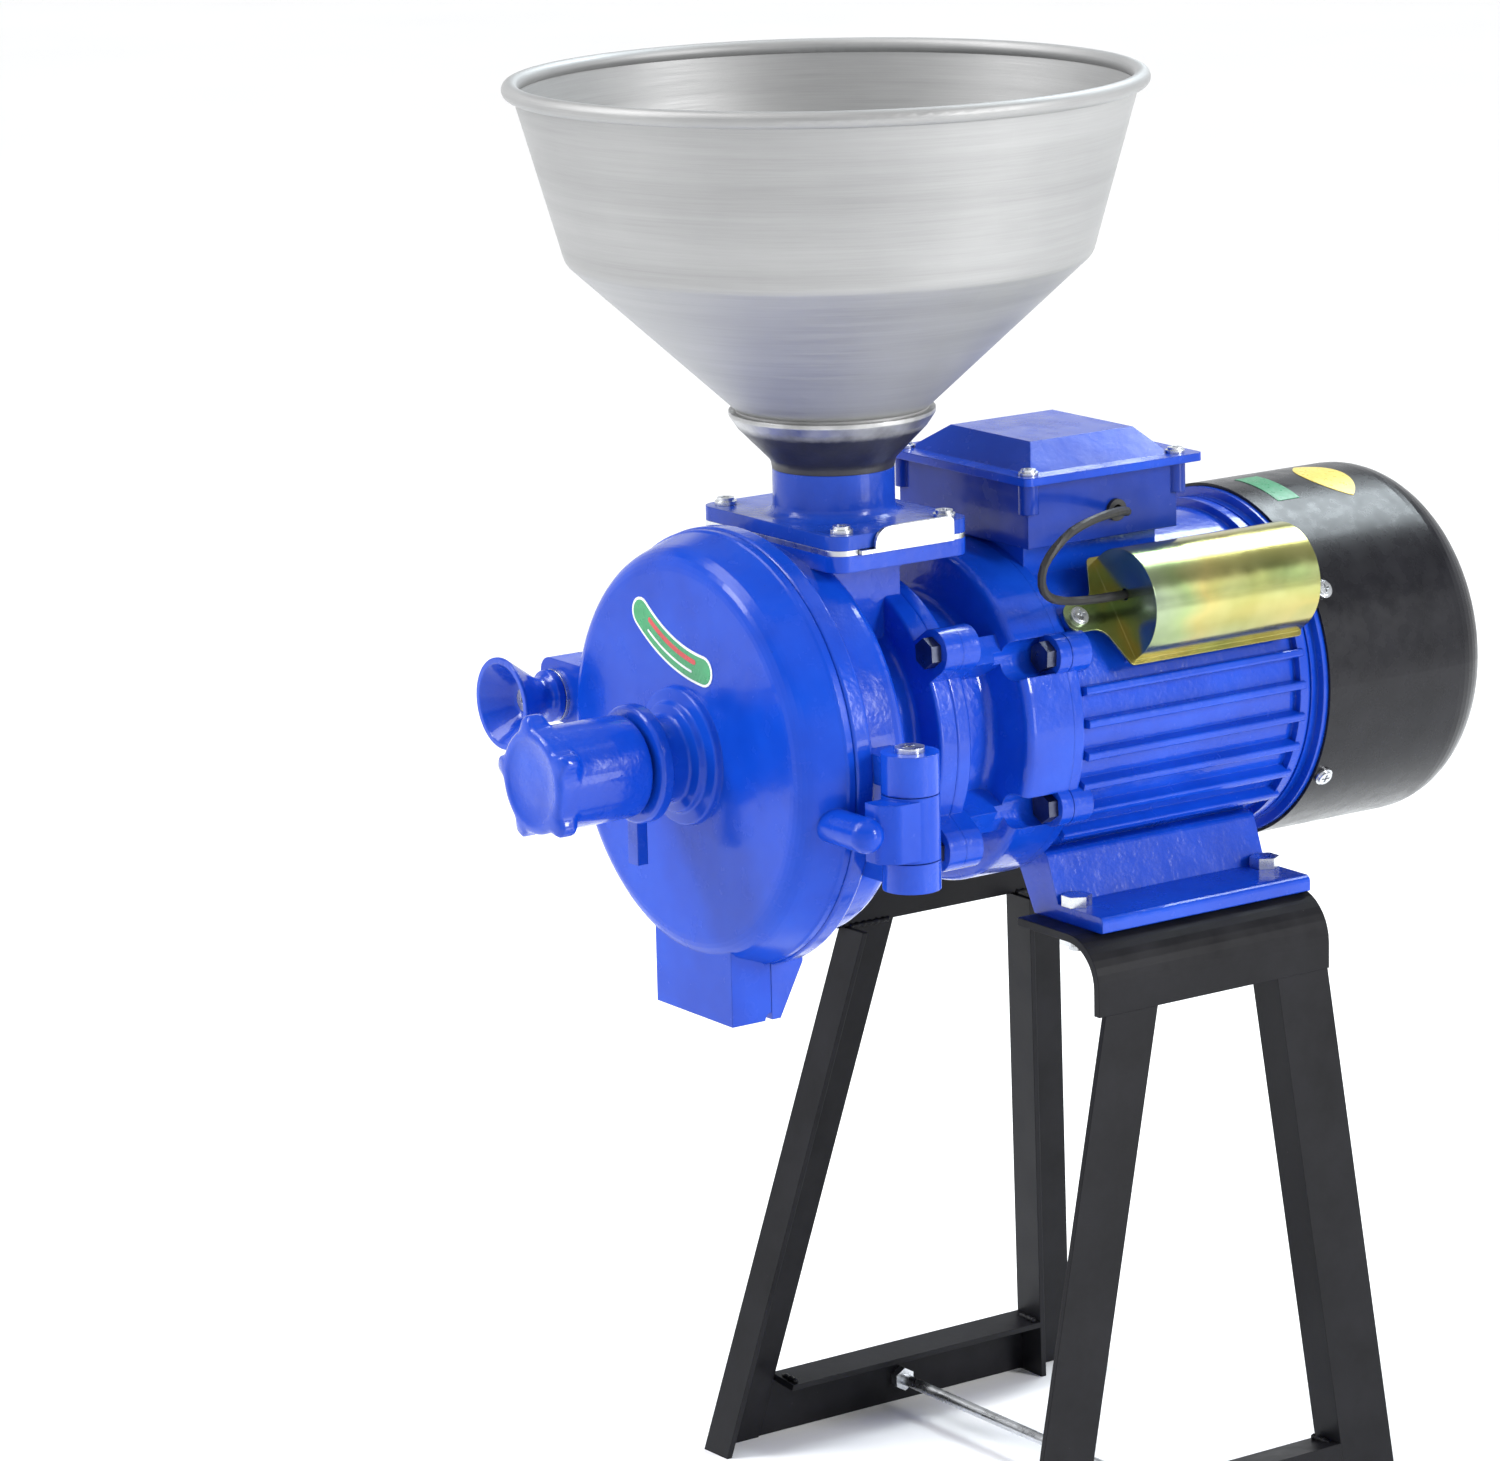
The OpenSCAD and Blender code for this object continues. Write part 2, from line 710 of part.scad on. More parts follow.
module lock_nut() {
    color(blue) on_floor() difference() {
        union() {
            turned(rounded([[0, lock_front], [lock_ring_r, lock_front, 2],
                [lock_ring_r, -boss_end - 0.5, 1], [0, -boss_end - 0.5]]));
            block([-4, lock_front + 0.8, -lock_ring_r - 20], [4, -boss_end - 1, -lock_ring_r + 4]);
        }
        rod_y(adjust_r + run_fit, lock_front - past, -boss_end + past);
    }
}

module disc_holder() {
    color(iron) on_floor() difference() {
        union() {
            rod_y(holder_r, holder_back, holder_front);
            rod_y(16, holder_back - hub_len, holder_back + tiny);
        }
        rod_y(tip_r + run_fit, holder_back - hub_len - past, holder_front + past);
        at_disc_screws(fixed_screw_orbit) rod_y(m5_r, holder_back - past, holder_front + past);
    }
}

module at_disc_screws(orbit) {
    for (i = [0:2])
        around(90 + i * 120) translate([orbit, 0, 0]) children();
}

// Slanted grinding grooves in a disc's face, between two depths
module grooves(r_in, r_out, y0, y1) {
    for (i = [0:groove_count - 1])
        around((i + 0.5) * 360 / groove_count) rotate([0, 12, 0])
            block([r_in, y0, -1.3], [r_out + 8, y1, 1.3]);
}

module stationary_disc() {
    color(iron) on_floor() difference() {
        ring_y(22, fixed_disc_r, holder_front, fixed_face);
        grooves(27, fixed_disc_r, fixed_face - 1.4, fixed_face + past);
        at_disc_screws(fixed_screw_orbit) {
            rod_y(m5_r, holder_front - past, fixed_face);
            rod_y(m5_head_r, fixed_face - 3.4, fixed_face + past);
        }
    }
}

module stationary_disc_screws() {
    color(zinc) on_floor() at_disc_screws(fixed_screw_orbit) {
        rod_y(m5_head_r, fixed_face - 3.4, fixed_face - 0.6);
        rod_y(m5_r, holder_back, fixed_face - 3.3);
    }
}

module moving_disc() {
    color(iron) on_floor() difference() {
        ring_y(disc_hole_r, disc_r, moving_face, carrier_front);
        grooves(disc_hole_r + 2, disc_r, moving_face - past, moving_face + 1.4);
        at_disc_screws(disc_screw_orbit) {
            rod_y(m5_r, moving_face, carrier_front + past);
            rod_y(m5_head_r, moving_face - past, moving_face + 3.4);
        }
    }
}

module moving_disc_screws() {
    color(zinc) on_floor() at_disc_screws(disc_screw_orbit) {
        rod_y(m5_head_r, moving_face + 0.6, moving_face + 3.4);
        rod_y(m5_r, moving_face + 3.3, carrier_back);
    }
}

module disc_carrier() {
    hub_r = 19;
    color(iron) on_floor() difference() {
        union() {
            ring_y(0, disc_r, carrier_front, carrier_back);
            ring_y(0, hub_r, 1, chamber_depth + 6);
        }
        rod_y(10, -past, chamber_depth + 6 + past);
        at_disc_screws(disc_screw_orbit) rod_y(m5_r, carrier_front - past, carrier_back + past);
        difference() {
            ring_y(hub_r + 2, disc_hole_r, carrier_front - past, carrier_back + past);
            for (i = [0:2])
                around(30 + i * 120) block([0, 0, -5], [disc_r, carrier_back + 2, 5]);
        }
    }
}

module shaft_nut() {
    color(zinc) on_floor() difference() {
        translate([0, -6, 0]) rotate([-90, 0, 0]) cylinder(r = 13.8, h = 7, $fn = 6);
        rod_y(8, -7, 2);
    }
}

module auger() {
    front = chamber_depth + 6.3;
    back = body_len + 4;
    hub_r = 15;
    turns = 1.4;
    color(iron) on_floor() {
        difference() {
            rod_y(hub_r, front, back);
            rod_y(10, front - past, back + past);
        }
        translate([0, front, 0]) rotate([-90, 0, 0]) difference() {
            linear_extrude(back - front - 8, twist = 360 * turns, slices = 40, convexity = 6)
                translate([hub_r - 1, -3]) square([auger_r - hub_r + 1, 6]);
            cylinder(r = hub_r - tiny, h = 3 * (back - front), center = true);
        }
    }
}

module shaft_seal() {
    color("#2b2b2d") on_floor() ring_y(shaft_r + 0.4, 20, body_len + 6, body_len + 14);
}

// ---------------------------------------------------------------- motor

module motor_shaft() {
    step = 10;
    color(steel) on_floor() turned(rounded([
        [0, -8], [8, -8, 1], [8, 1], [step, 1], [step, body_len + 4], [shaft_r, body_len + 4],
        [shaft_r, frame_y + 12], [15, frame_y + 12], [15, rear_bearing_y - 1],
        [rear_bore_r, rear_bearing_y - 1], [rear_bore_r, shaft_end, 1], [0, shaft_end]]));
}

module bearing(r_in, r_out, y0, w) {
    color(zinc) on_floor() difference() {
        ring_y(r_in + run_fit, r_out, y0, y0 + w);
        for (y = [y0 - past, y0 + w - 1])
            ring_y(r_in + 4, r_out - 4, y, y + 1 + past);
    }
}

module front_bearing() {
    bearing(shaft_r, bearing_r, front_bearing_y, bearing_w);
}

module rear_bearing() {
    bearing(rear_bore_r, rear_bearing_r, rear_bearing_y, rear_bearing_w);
}

module rotor_core() {
    color("#8f9298") on_floor() difference() {
        union() {
            ring_y(15, air_gap_r, core_y, core_y + core_len);
            ring_y(22, air_gap_r - 4, core_y - 7, core_y + core_len + 7);
        }
        for (i = [0:5])
            around(i * 60) translate([18.5, 0, 0]) rod_y(2, core_y - 8, core_y + core_len + 8);
    }
}

module stator_core() {
    slots = 24;
    color("#7d8187") on_floor() difference() {
        ring_y(air_gap_r + 0.5, core_r, core_y, core_y + core_len);
        for (i = [0:slots - 1])
            around(i * 360 / slots)
                block([air_gap_r - 1, core_y - past, -2], [air_gap_r + 15, core_y + core_len + past, 2]);
    }
}

module stator_windings() {
    color("#b0622a") on_floor() for (y = [core_y - 15, core_y + core_len])
        turned(rounded([[air_gap_r + 4, y, 3], [core_r - 6, y, 5], [core_r - 6, y + 15, 5],
            [air_gap_r + 4, y + 15, 3]], 4));
}

module switch_governor() {
    y = core_y + core_len + 8;
    color("#c9a227") on_floor() difference() {
        union() {
            ring_y(15, 20, y, y + 12);
            ring_y(15, 32, y + 3, y + 6);
            for (i = [0:1])
                around(i * 180) block([24, y + 2, -9], [31, y + 9, 9]);
        }
        rod_y(15, y - past, y + 13);
    }
}

module front_endshield() {
    rib_from = shield_waist_r - 5;
    color(blue) on_floor() difference() {
        union() {
            turned(rounded([[0, shield_y], [shield_flange_r, shield_y, 1.5],
                [shield_flange_r, shield_y + 9, 2], [shield_waist_r, shield_y + 9, 4],
                [shield_waist_r, shield_y + 33, 5], [shield_bell_r, shield_y + 37, 5],
                [shield_bell_r, frame_y], [0, frame_y]]));
            at_four(ear_angle, ear_r) ear(ear_pad_r, ear_r - 60, shield_y, shield_y + 10);
            at_four(ear_angle, 0)
                block([rib_from, shield_y + 1, -7], [shield_flange_r, shield_y + 40, 7]);
            at_four(bell_ear_angle, bell_ear_r) ear(10, 30, frame_y - bell_ear_t, frame_y);
        }
        turned(rounded([[0, frame_y - 6], [core_r + 2, frame_y - 6, 3], [core_r + 2, frame_y + past],
            [0, frame_y + past]]));
        rod_y(bearing_r, front_bearing_y, frame_y);
        rod_y(14, shield_y - past, frame_y);
        rod_y(feed_bore_r, shield_y - past, shield_y + 6);
        rod_y(20, shield_y, shield_y + 14);
        at_four(ear_angle, ear_r) rod_y(m8_r, shield_y - past, shield_y + 10 + past);
        at_four(bell_ear_angle, bell_ear_r) {
            rod_y(m8_r + 0.2, frame_y - bell_ear_t - past, frame_y + past);
            rod_y(m8_head_r + 2, shield_y + 30, frame_y - bell_ear_t);
        }
    }
}

module foot_holes() {
    for (sx = [-1, 1], y = [foot_hole_y, foot_hole_y + foot_pitch_y])
        translate([sx * foot_hole_x, y, 0]) children();
}

module cap_boss() {
    for (y = [cap_screw_front, cap_screw_rear])
        around(cap_angle) translate([0, y, 0]) rod_x(7, frame_r - 6, cap_base);
}

module motor_frame() {
    left_ribs = concat([for (a = rib_angles) 180 - a], [156, 145, 134]);
    color(blue) on_floor() difference() {
        union() {
            rod_y(frame_r, frame_y, frame_end);
            for (y = [frame_y, frame_end - 7])
                turned(rounded([[0, y], [frame_r + 4, y], [frame_r + 4, y + 7, 2], [0, y + 7]]));
            for (a = concat(rib_angles, left_ribs))
                around(a) slab_y(frame_y + 8, frame_end - 5)
                    polygon(rounded([[frame_r - 4, -rib_w / 2 - 0.6], [frame_r + rib_h, -rib_w / 2, 1.2],
                        [frame_r + rib_h, rib_w / 2, 1.2], [frame_r - 4, rib_w / 2 + 0.6]], 3));
            at_four(bell_ear_angle, bell_ear_r) ear(10, 30, frame_y + ear_relief, frame_y + 12);
            mirror_x() slab_y(foot_y, foot_y + foot_len) polygon(rounded([
                [foot_in, -foot_drop], [foot_out, -foot_drop, 1], [foot_out, -foot_drop + foot_t, 3],
                [foot_hole_x - 7, -foot_drop + foot_t], [foot_hole_x - 16, -foot_drop + 32, 4],
                [30, -foot_drop + 34], [30, -foot_drop + 26]], 4));
            block([-40, box_y + 6, 50], [40, box_y + box_len - 4, pad_z]);
            around(cap_angle) block([frame_r - 10, cap_y + 2, -23], [cap_base, cap_y + cap_len - 2, 23]);
            cap_boss();
        }
        rod_y(core_r, frame_y - past, frame_end + past);
        ring_y(core_r - past, cap_base + 2, frame_end, frame_end + 10);
        at_four(bell_ear_angle, bell_ear_r) rod_y(m8_r, frame_y - past, frame_y + 13);
        foot_holes() rod_z(foot_hole_r, -foot_drop - past, -foot_drop + foot_t + past);
        translate([0, frame_y + 44, 0]) rod_z(11, frame_r - 14, pad_z + past);
        for (y = [cap_screw_front, cap_screw_rear])
            around(cap_angle) translate([0, y, 0]) rod_x(m5_r, frame_r - 3, cap_base + past);
    }
}

module rear_endshield() {
    seat = rear_bearing_r;
    color(blue) on_floor() difference() {
        turned([[seat, rear_bearing_y - 2], [seat + 6, rear_bearing_y - 2], [seat + 6, frame_end],
            [frame_r + 4, frame_end], [frame_r + 4, cowl_y - 3], [spigot_in_cowl, cowl_y - 3],
            [spigot_in_cowl, cowl_y + 13], [spigot_in_cowl - 6, cowl_y + 13],
            [spigot_in_cowl - 6, cowl_y + 2], [seat + 6, cowl_y + 2],
            [seat + 6, rear_bearing_y + rear_bearing_w + 3], [14, rear_bearing_y + rear_bearing_w + 3],
            [14, rear_bearing_y + rear_bearing_w], [seat, rear_bearing_y + rear_bearing_w]]);
        at_four(cowl_screw_angle, 0)
            translate([0, cowl_screw_y, 0]) rod_x(m5_r + m5_play, spigot_in_cowl - 8, cowl_r);
    }
}

module flange_bolts() {
    color("#3c3f46") on_floor() {
        at_four(ear_angle, ear_r) translate([0, body_len - body_flange_t, 0])
            hex_bolt_y(m8_r, m8_head_r, m8_head_h, 20);
        at_four(bell_ear_angle, bell_ear_r) translate([0, frame_y - bell_ear_t, 0])
            hex_bolt_y(m8_r, m8_head_r, m8_head_h, 20);
    }
}

module cooling_fan() {
    blade_r = cowl_r - 14;
    color("#e8e4d8") on_floor() difference() {
        union() {
            ring_y(0, 17, fan_y, fan_y + 22);
            ring_y(0, blade_r - 16, fan_y + 17, fan_y + 20);
            for (i = [0:7])
                around(i * 45) block([12, fan_y - 2, -1.5], [blade_r, fan_y + 20, 1.5]);
        }
        rod_y(rear_bore_r, fan_y - 3, fan_y + 23);
    }
}

module fan_cowl() {
    round_r = 26;
    color(black) on_floor() difference() {
        turned(rounded([[spigot_in_cowl, cowl_y], [cowl_r, cowl_y], [cowl_r, cowl_end, round_r],
            [0, cowl_end], [0, cowl_end - cowl_wall],
            [spigot_in_cowl, cowl_end - cowl_wall, round_r - cowl_wall]], 12));
        for (ring = [0:2], i = [0:11 + ring * 6])
            around(i * 360 / (12 + ring * 6)) translate([18 + ring * 14, 0, 0])
                block([0, cowl_end - 4, -2.2], [9, cowl_end + past, 2.2]);
        at_four(cowl_screw_angle, 0)
            translate([0, cowl_screw_y, 0]) rod_x(m5_r, spigot_in_cowl - 2, cowl_r + past);
    }
}

// A thin label that follows the cowl, seen from above
module cowl_label(x, y) {
    intersection() {
        ring_y(cowl_r, cowl_r + 0.25, cowl_y, cowl_end);
        translate([x, y, 0]) linear_extrude(cowl_r + 5) children();
    }
}

module cowl_labels() {
    color("#e2c53a") on_floor() {
        cowl_label(14, cowl_y + 60) intersection() {
            translate([0, -16]) circle(r = 28);
            translate([0, 16]) circle(r = 28);
        }
        cowl_label(15, cowl_y + 22) square([34, 14], center = true);
    }
}

module at_lid_screws() {
    for (sx = [-1, 1], y = [box_y + 2, box_y + box_len + 1])
        translate([sx * (box_w / 2 - 2), y, 0]) children();
}

module cover_screws() {
    color(zinc) on_floor() {
        at_four(cowl_screw_angle, cowl_r) translate([0, cowl_screw_y, 0])
            rotate([0, 90, 0]) pan_screw(m5_r, m5_head_r, 2.8, 6);
        around(cap_angle) for (y = [cap_screw_front, cap_screw_rear])
            translate([cap_base + cap_wall, y, 0]) rotate([0, 90, 0])
                pan_screw(m5_r, m5_head_r, 2.8, 8);
        at_lid_screws() translate([0, 0, lid_z + lid_rim_t])
            pan_screw(m5_r, m5_head_r, 2.8, 14);
    }
}

// ---------------------------------------------------------------- terminal box

module terminal_box() {
    x = box_w / 2;
    y1 = box_y + box_len;
    color(blue) on_floor() difference() {
        union() {
            difference() {
                block([-x, box_y, pad_z], [x, y1, lid_z]);
                block([-x + box_wall, box_y + box_wall, pad_z + 4],
                    [x - box_wall, y1 - box_wall, lid_z + past]);
            }
            at_lid_screws() rod_z(box_ear_r, lid_z - 15, lid_z);
        }
        at_lid_screws() rod_z(m5_r, lid_z - 12, lid_z + past);
        translate([0, frame_y + 44, 0]) rod_z(11, pad_z - past, pad_z + 5);
        translate([0, lead_hole_y, lead_hole_z]) rod_x(grommet_r - 1.5, 0, x + past);
        translate([0, box_y + box_len - 26, pad_z + 15]) rod_x(8, -x - past, 0);
    }
}

// Roof with sloping sides, from its foot to its flat top
module roof(foot_x, foot_y0, foot_y1, top_x, top_y0, top_y1, z0, z1) {
    polyhedron(
        points = [[-foot_x, foot_y0, z0], [foot_x, foot_y0, z0], [foot_x, foot_y1, z0],
            [-foot_x, foot_y1, z0], [-top_x, top_y0, z1], [top_x, top_y0, z1],
            [top_x, top_y1, z1], [-top_x, top_y1, z1]],
        faces = [[0, 1, 2, 3], [7, 6, 5, 4], [0, 4, 5, 1], [1, 5, 6, 2], [2, 6, 7, 3], [3, 7, 4, 0]]);
}

module box_lid() {
    x = box_w / 2 + lid_over;
    y0 = box_y - lid_over + 1;
    y1 = box_y + box_len + 12;
    foot = 10;
    rise = 19;
    rim = lid_z + lid_rim_t;
    color(blue) on_floor() difference() {
        union() {
            translate([0, 0, lid_z]) linear_extrude(lid_rim_t) polygon(rounded([
                [-x, y0, 4], [x, y0, 4], [x, y1, 4], [-x, y1, 4]]));
            roof(x - foot, y0 + foot, y1 - foot - 4, x - foot - rise + 2, y0 + foot + rise - 6,
                y1 - foot - 13, rim - tiny, rim + lid_rise);
        }
        roof(x - foot - 4, y0 + foot + 4, y1 - foot - 8, x - foot - rise - 1, y0 + foot + rise - 2,
            y1 - foot - 16, lid_z - tiny, rim + lid_rise - 3);
        at_lid_screws() rod_z(m5_r + m5_play, lid_z - past, rim + past);
        at_lid_screws() rod_z(m5_head_r + 0.6, rim, rim + lid_rise);
    }
}

module terminal_board() {
    z = pad_z + 4;
    y = box_y + box_len / 2;
    color("#8a3b26") on_floor() {
        block([-32, y + 14, z], [14, y + 36, z + 8]);
        for (i = [0:3])
            translate([-26 + i * 11, y + 25, 0]) rod_z(2.5, z + 8 - tiny, z + 16);
    }
}

module cable_gland() {
    x = -box_w / 2;
    color(black) on_floor() translate([0, box_y + box_len - 26, pad_z + 15]) difference() {
        union() {
            rod_x(8, x - tiny, x + box_wall + 3);
            translate([x - 6, 0, 0]) rotate([0, 90, 0]) cylinder(r = 12, h = 6, $fn = 6);
            rotate([0, -90, 0]) translate([0, 0, -x + 5]) rotate_extrude()
                polygon(rounded([[0, 0], [9.5, 0], [9.5, 9, 5], [5.6, 13, 1], [0, 13]]));
        }
        rod_x(4, x - 20, x + 8);
    }
}

module lead_grommet() {
    x = box_w / 2;
    color(black) on_floor() translate([x, lead_hole_y, lead_hole_z]) difference() {
        union() {
            rod_x(grommet_r - 1.5, -box_wall, tiny);
            rod_x(grommet_r, 0, 2.2);
            rod_x(grommet_r, -box_wall - 1.8, -box_wall);
        }
        rod_x(lead_r + 0.5, -box_wall - 3, 4);
    }
}

// ---------------------------------------------------------------- capacitor

// The lead's route: out of the box's side, forward and down, and back into the cover
lead_route = [[47, 0, 0], [60, 0, 0], [67, -5, 2], [74, -14, 4], [80, -26, 5], [84, -40, 4],
    [87, -54, 1], [89, -65, -5], [89, -72, -13], [87, -72, -22], [84, -66, -29], [81, -56, -33],
    [79, -44, -35], [78, -30, -36], [78, -16, -36], [78, -10, -36]];

function route_point(i) = [lead_route[i].x, lead_hole_y + lead_route[i].y, lead_hole_z + lead_route[i].z];

// Point on a smooth curve through four route points
function spline(p0, p1, p2, p3, t) =
    0.5 * (2 * p1 + (p2 - p0) * t + (2 * p0 - 5 * p1 + 4 * p2 - p3) * t * t
        + (3 * p1 - p0 - 3 * p2 + p3) * t * t * t);

function route_last() = len(lead_route) - 1;

// Two rings for each stretch of the route
function centre_line() = [for (k = [0:2 * route_last()])
    let (i = min(floor(k / 2), route_last() - 1), t = k / 2 - i)
    spline(route_point(max(i - 1, 0)), route_point(i), route_point(i + 1),
        route_point(min(i + 2, route_last())), t)];

// Sweeps a ring of sides along the points, each ring square to the path
module tube(path, r, sides) {
    n = len(path);
    dirs = [for (i = [0:n - 1]) unit(path[min(i + 1, n - 1)] - path[max(i - 1, 0)])];
    pts = [for (i = [0:n - 1])
        let (side = unit(cross(dirs[i], [0.3, 0.9, 0.1])), up = cross(side, dirs[i]))
        for (k = [0:sides - 1])
            path[i] + r * (cos(k * 360 / sides) * side + sin(k * 360 / sides) * up)];
    walls = [for (i = [0:n - 2], k = [0:sides - 1])
        let (a = i * sides + k, b = i * sides + (k + 1) % sides)
        each [[a, b, b + sides], [a, b + sides, a + sides]]];
    ends = [[for (k = [sides - 1:-1:0]) k], [for (k = [0:sides - 1]) (n - 1) * sides + k]];
    polyhedron(points = pts, faces = concat(walls, ends), convexity = 8);
}

module capacitor_lead() {
    color(black) on_floor() tube(centre_line(), lead_r, 8);
}

module cap_outline(r) {
    base = cap_base + cap_cover_r - r;
    difference() {
        union() {
            translate([cap_mid, 0]) circle(r = r);
            translate([base, -r]) square([cap_mid - base, 2 * r]);
        }
        translate([base - 100, -50]) square([100, 100]);
    }
}

module capacitor_cover() {
    y1 = cap_y + cap_len;
    tab_x = cap_cover_r + 2.5;
    color("#c9c24a") on_floor() around(cap_angle) difference() {
        union() {
            slab_y(cap_y, y1) cap_outline(cap_cover_r);
            translate([cap_base, 0, 0]) rotate([0, 90, 0]) linear_extrude(cap_wall) {
                polygon(rounded([[-8, cap_y - cap_tab - 2, 7], [8, cap_y - cap_tab - 2, 7],
                    [8, cap_y - 11, 8], [tab_x, cap_y - 3, 3], [tab_x, y1, 2], [8, y1 + 11, 6],
                    [-8, y1 + 11, 6], [-tab_x, y1, 2], [-tab_x, cap_y - 3, 3], [-8, cap_y - 11, 8]]));
            }
        }
        slab_y(cap_y + cap_wall, y1 - cap_wall) cap_outline(cap_cover_r - cap_wall);
        block([cap_base - past, cap_y + cap_wall, -cap_cover_r + 2],
            [cap_base + 3, y1 - cap_wall, cap_cover_r - 2]);
        for (y = [cap_screw_front, cap_screw_rear])
            translate([0, y, 0]) rod_x(m5_r + m5_play, cap_base - past, cap_base + 3);
        around(-cap_angle) translate([78, 0, lead_hole_z - 36]) rod_y(lead_r + 0.8, cap_y - past, cap_y + 3);
    }
}

module capacitor() {
    color("#e9e9e6") on_floor() around(cap_angle)
        translate([cap_base + can_r + 0.2, 0, 0]) {
            turned(rounded([[0, cap_y + 12], [can_r, cap_y + 12, 2], [can_r, cap_y + cap_len - 6, 2],
                [0, cap_y + cap_len - 6]]));
            for (s = [-1, 1])
                translate([6, 0, s * 6]) rod_y(1.6, cap_y + 6, cap_y + 13);
        }
}

// ---------------------------------------------------------------- stand

module rail() {
    color(stand_black) on_floor() difference() {
        slab_y(rail_y, rail_y + rail_len) polygon(rounded([
            [rail_in, rail_z], [rail_x, rail_z, rail_bend], [rail_x, rail_foot],
            [rail_x - rail_t, rail_foot], [rail_x - rail_t, rail_z - rail_t, rail_bend - rail_t],
            [rail_in, rail_z - rail_t]], 10));
        foot_holes() rod_z(foot_hole_r, rail_z - rail_t - past, rail_z + past);
    }
}

module right_rail() {
    rail();
}

module left_rail() {
    mirror([1, 0, 0]) rail();
}

// The plane of one side's legs: its outer face at x = 0, hung from the rail's lower edge
module side_plane() {
    translate([rail_x, 0, rail_foot]) rotate([0, -leg_tilt, 0]) children();
}

// Strip of a leg in its plane; edges are the strip's places along Y at the rail and at the floor
module leg_strip(top, foot, width) {
    extra = 4;
    lean = (foot - top) / leg_run;
    polygon([[top - lean * extra, extra], [top + width - lean * extra, extra],
        [foot + width + lean * extra, -leg_run - extra], [foot + lean * extra, -leg_run - extra]]);
}

module between_floor_and_rail() {
    intersection() {
        children();
        block([-400, -400, floor_z], [400, 800, rail_foot]);
    }
}

// Leg of unequal angle; the deep flange is on its front edge or its rear edge
module leg(top, foot, flange_at_rear) {
    shift = flange_at_rear ? leg_w - leg_t : 0;
    color(stand_black) on_floor() between_floor_and_rail() side_plane() {
        slab_x(-leg_t, 0) leg_strip(top, foot, leg_w);
        slab_x(-leg_flange, 0) leg_strip(top + shift, foot + shift, leg_t);
    }
}

front_top = rail_y + 4;
rear_top = rail_y + rail_len - 1 - leg_w;

module right_front_leg() {
    leg(front_top, front_top - front_spread, true);
}

module right_rear_leg() {
    leg(rear_top, rear_top + rear_spread, false);
}

module left_front_leg() {
    mirror([1, 0, 0]) leg(front_top, front_top - front_spread, false);
}

module left_rear_leg() {
    mirror([1, 0, 0]) leg(rear_top, rear_top + rear_spread, false);
}

// Where a leg's inner edge is, a height above the foot of the plane
function front_edge(h) = front_top + leg_w - front_spread * (leg_run - h) / leg_run;
function rear_edge(h) = rear_top + rear_spread * (leg_run - h) / leg_run;

module bar() {
    low = bar_lift;
    high = bar_lift + bar_h;
    lip = high - leg_t;
    color(stand_black) on_floor() difference() {
        side_plane() {
            slab_x(-leg_t, 0) polygon([[front_edge(low), low - leg_run], [rear_edge(low), low - leg_run],
                [rear_edge(high), high - leg_run], [front_edge(high), high - leg_run]]);
            slab_x(-leg_flange, 0) polygon([[front_edge(lip), lip - leg_run], [rear_edge(lip), lip - leg_run],
                [rear_edge(high), high - leg_run], [front_edge(high), high - leg_run]]);
        }
        translate([0, tie_y, tie_z]) rod_x(tie_r + 0.3, 0, 2 * rail_x);
    }
}

module right_bar() {
    bar();
}

module left_bar() {
    mirror([1, 0, 0]) bar();
}

module tie_rod() {
    color(zinc) on_floor() translate([0, tie_y, tie_z]) rod_x(tie_r, -tie_face - 10, tie_face + 10);
}

// Hex nut along +X on a bolt of the given radius
module hex_nut_x(r_out, r, h) {
    difference() {
        rotate([0, 90, 0]) cylinder(r = r_out, h = h, $fn = 6);
        rod_x(r, -past, h + past);
    }
}

module frame_nuts() {
    slack = 0.7;
    color(zinc) on_floor() {
        mirror_x() for (x = [tie_face + slack, tie_face - leg_t - slack - tie_nut_h])
            translate([x, tie_y, tie_z]) hex_nut_x(tie_nut_r, tie_r, tie_nut_h);
        foot_holes() translate([0, 0, rail_z - rail_t]) rotate([0, 90, 0])
            hex_nut_x(nut_r, m8_r, nut_h);
    }
}

module foot_bolts() {
    color(zinc) on_floor() foot_holes() {
        translate([0, 0, -foot_drop + foot_t]) cylinder(r = m8_head_r, h = m8_head_h, $fn = 6);
        rod_z(m8_r, rail_z - rail_t - nut_h - 3, -foot_drop + foot_t + tiny);
    }
}

hopper();
hopper_adaptor();
feed_neck();
gate_guide();
slide_gate();
neck_screws();
mill_body();
door();
door_seal();
hinge_pin();
door_label();
latch_knob();
latch_stud();
latch_washer();
handwheel();
adjusting_screw();
lock_nut();
disc_holder();
stationary_disc();
stationary_disc_screws();
moving_disc();
moving_disc_screws();
disc_carrier();
shaft_nut();
auger();
shaft_seal();
motor_shaft();
front_bearing();
rear_bearing();
rotor_core();
stator_core();
stator_windings();
switch_governor();
front_endshield();
motor_frame();
rear_endshield();
flange_bolts();
cooling_fan();
fan_cowl();
cowl_labels();
cover_screws();
terminal_box();
box_lid();
terminal_board();
cable_gland();
lead_grommet();
capacitor_lead();
capacitor_cover();
capacitor();
right_rail();
left_rail();
right_front_leg();
right_rear_leg();
left_front_leg();
left_rear_leg();
right_bar();
left_bar();
tie_rod();
frame_nuts();
foot_bolts();
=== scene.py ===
import math
import random

import bpy
from mathutils import Matrix, Vector


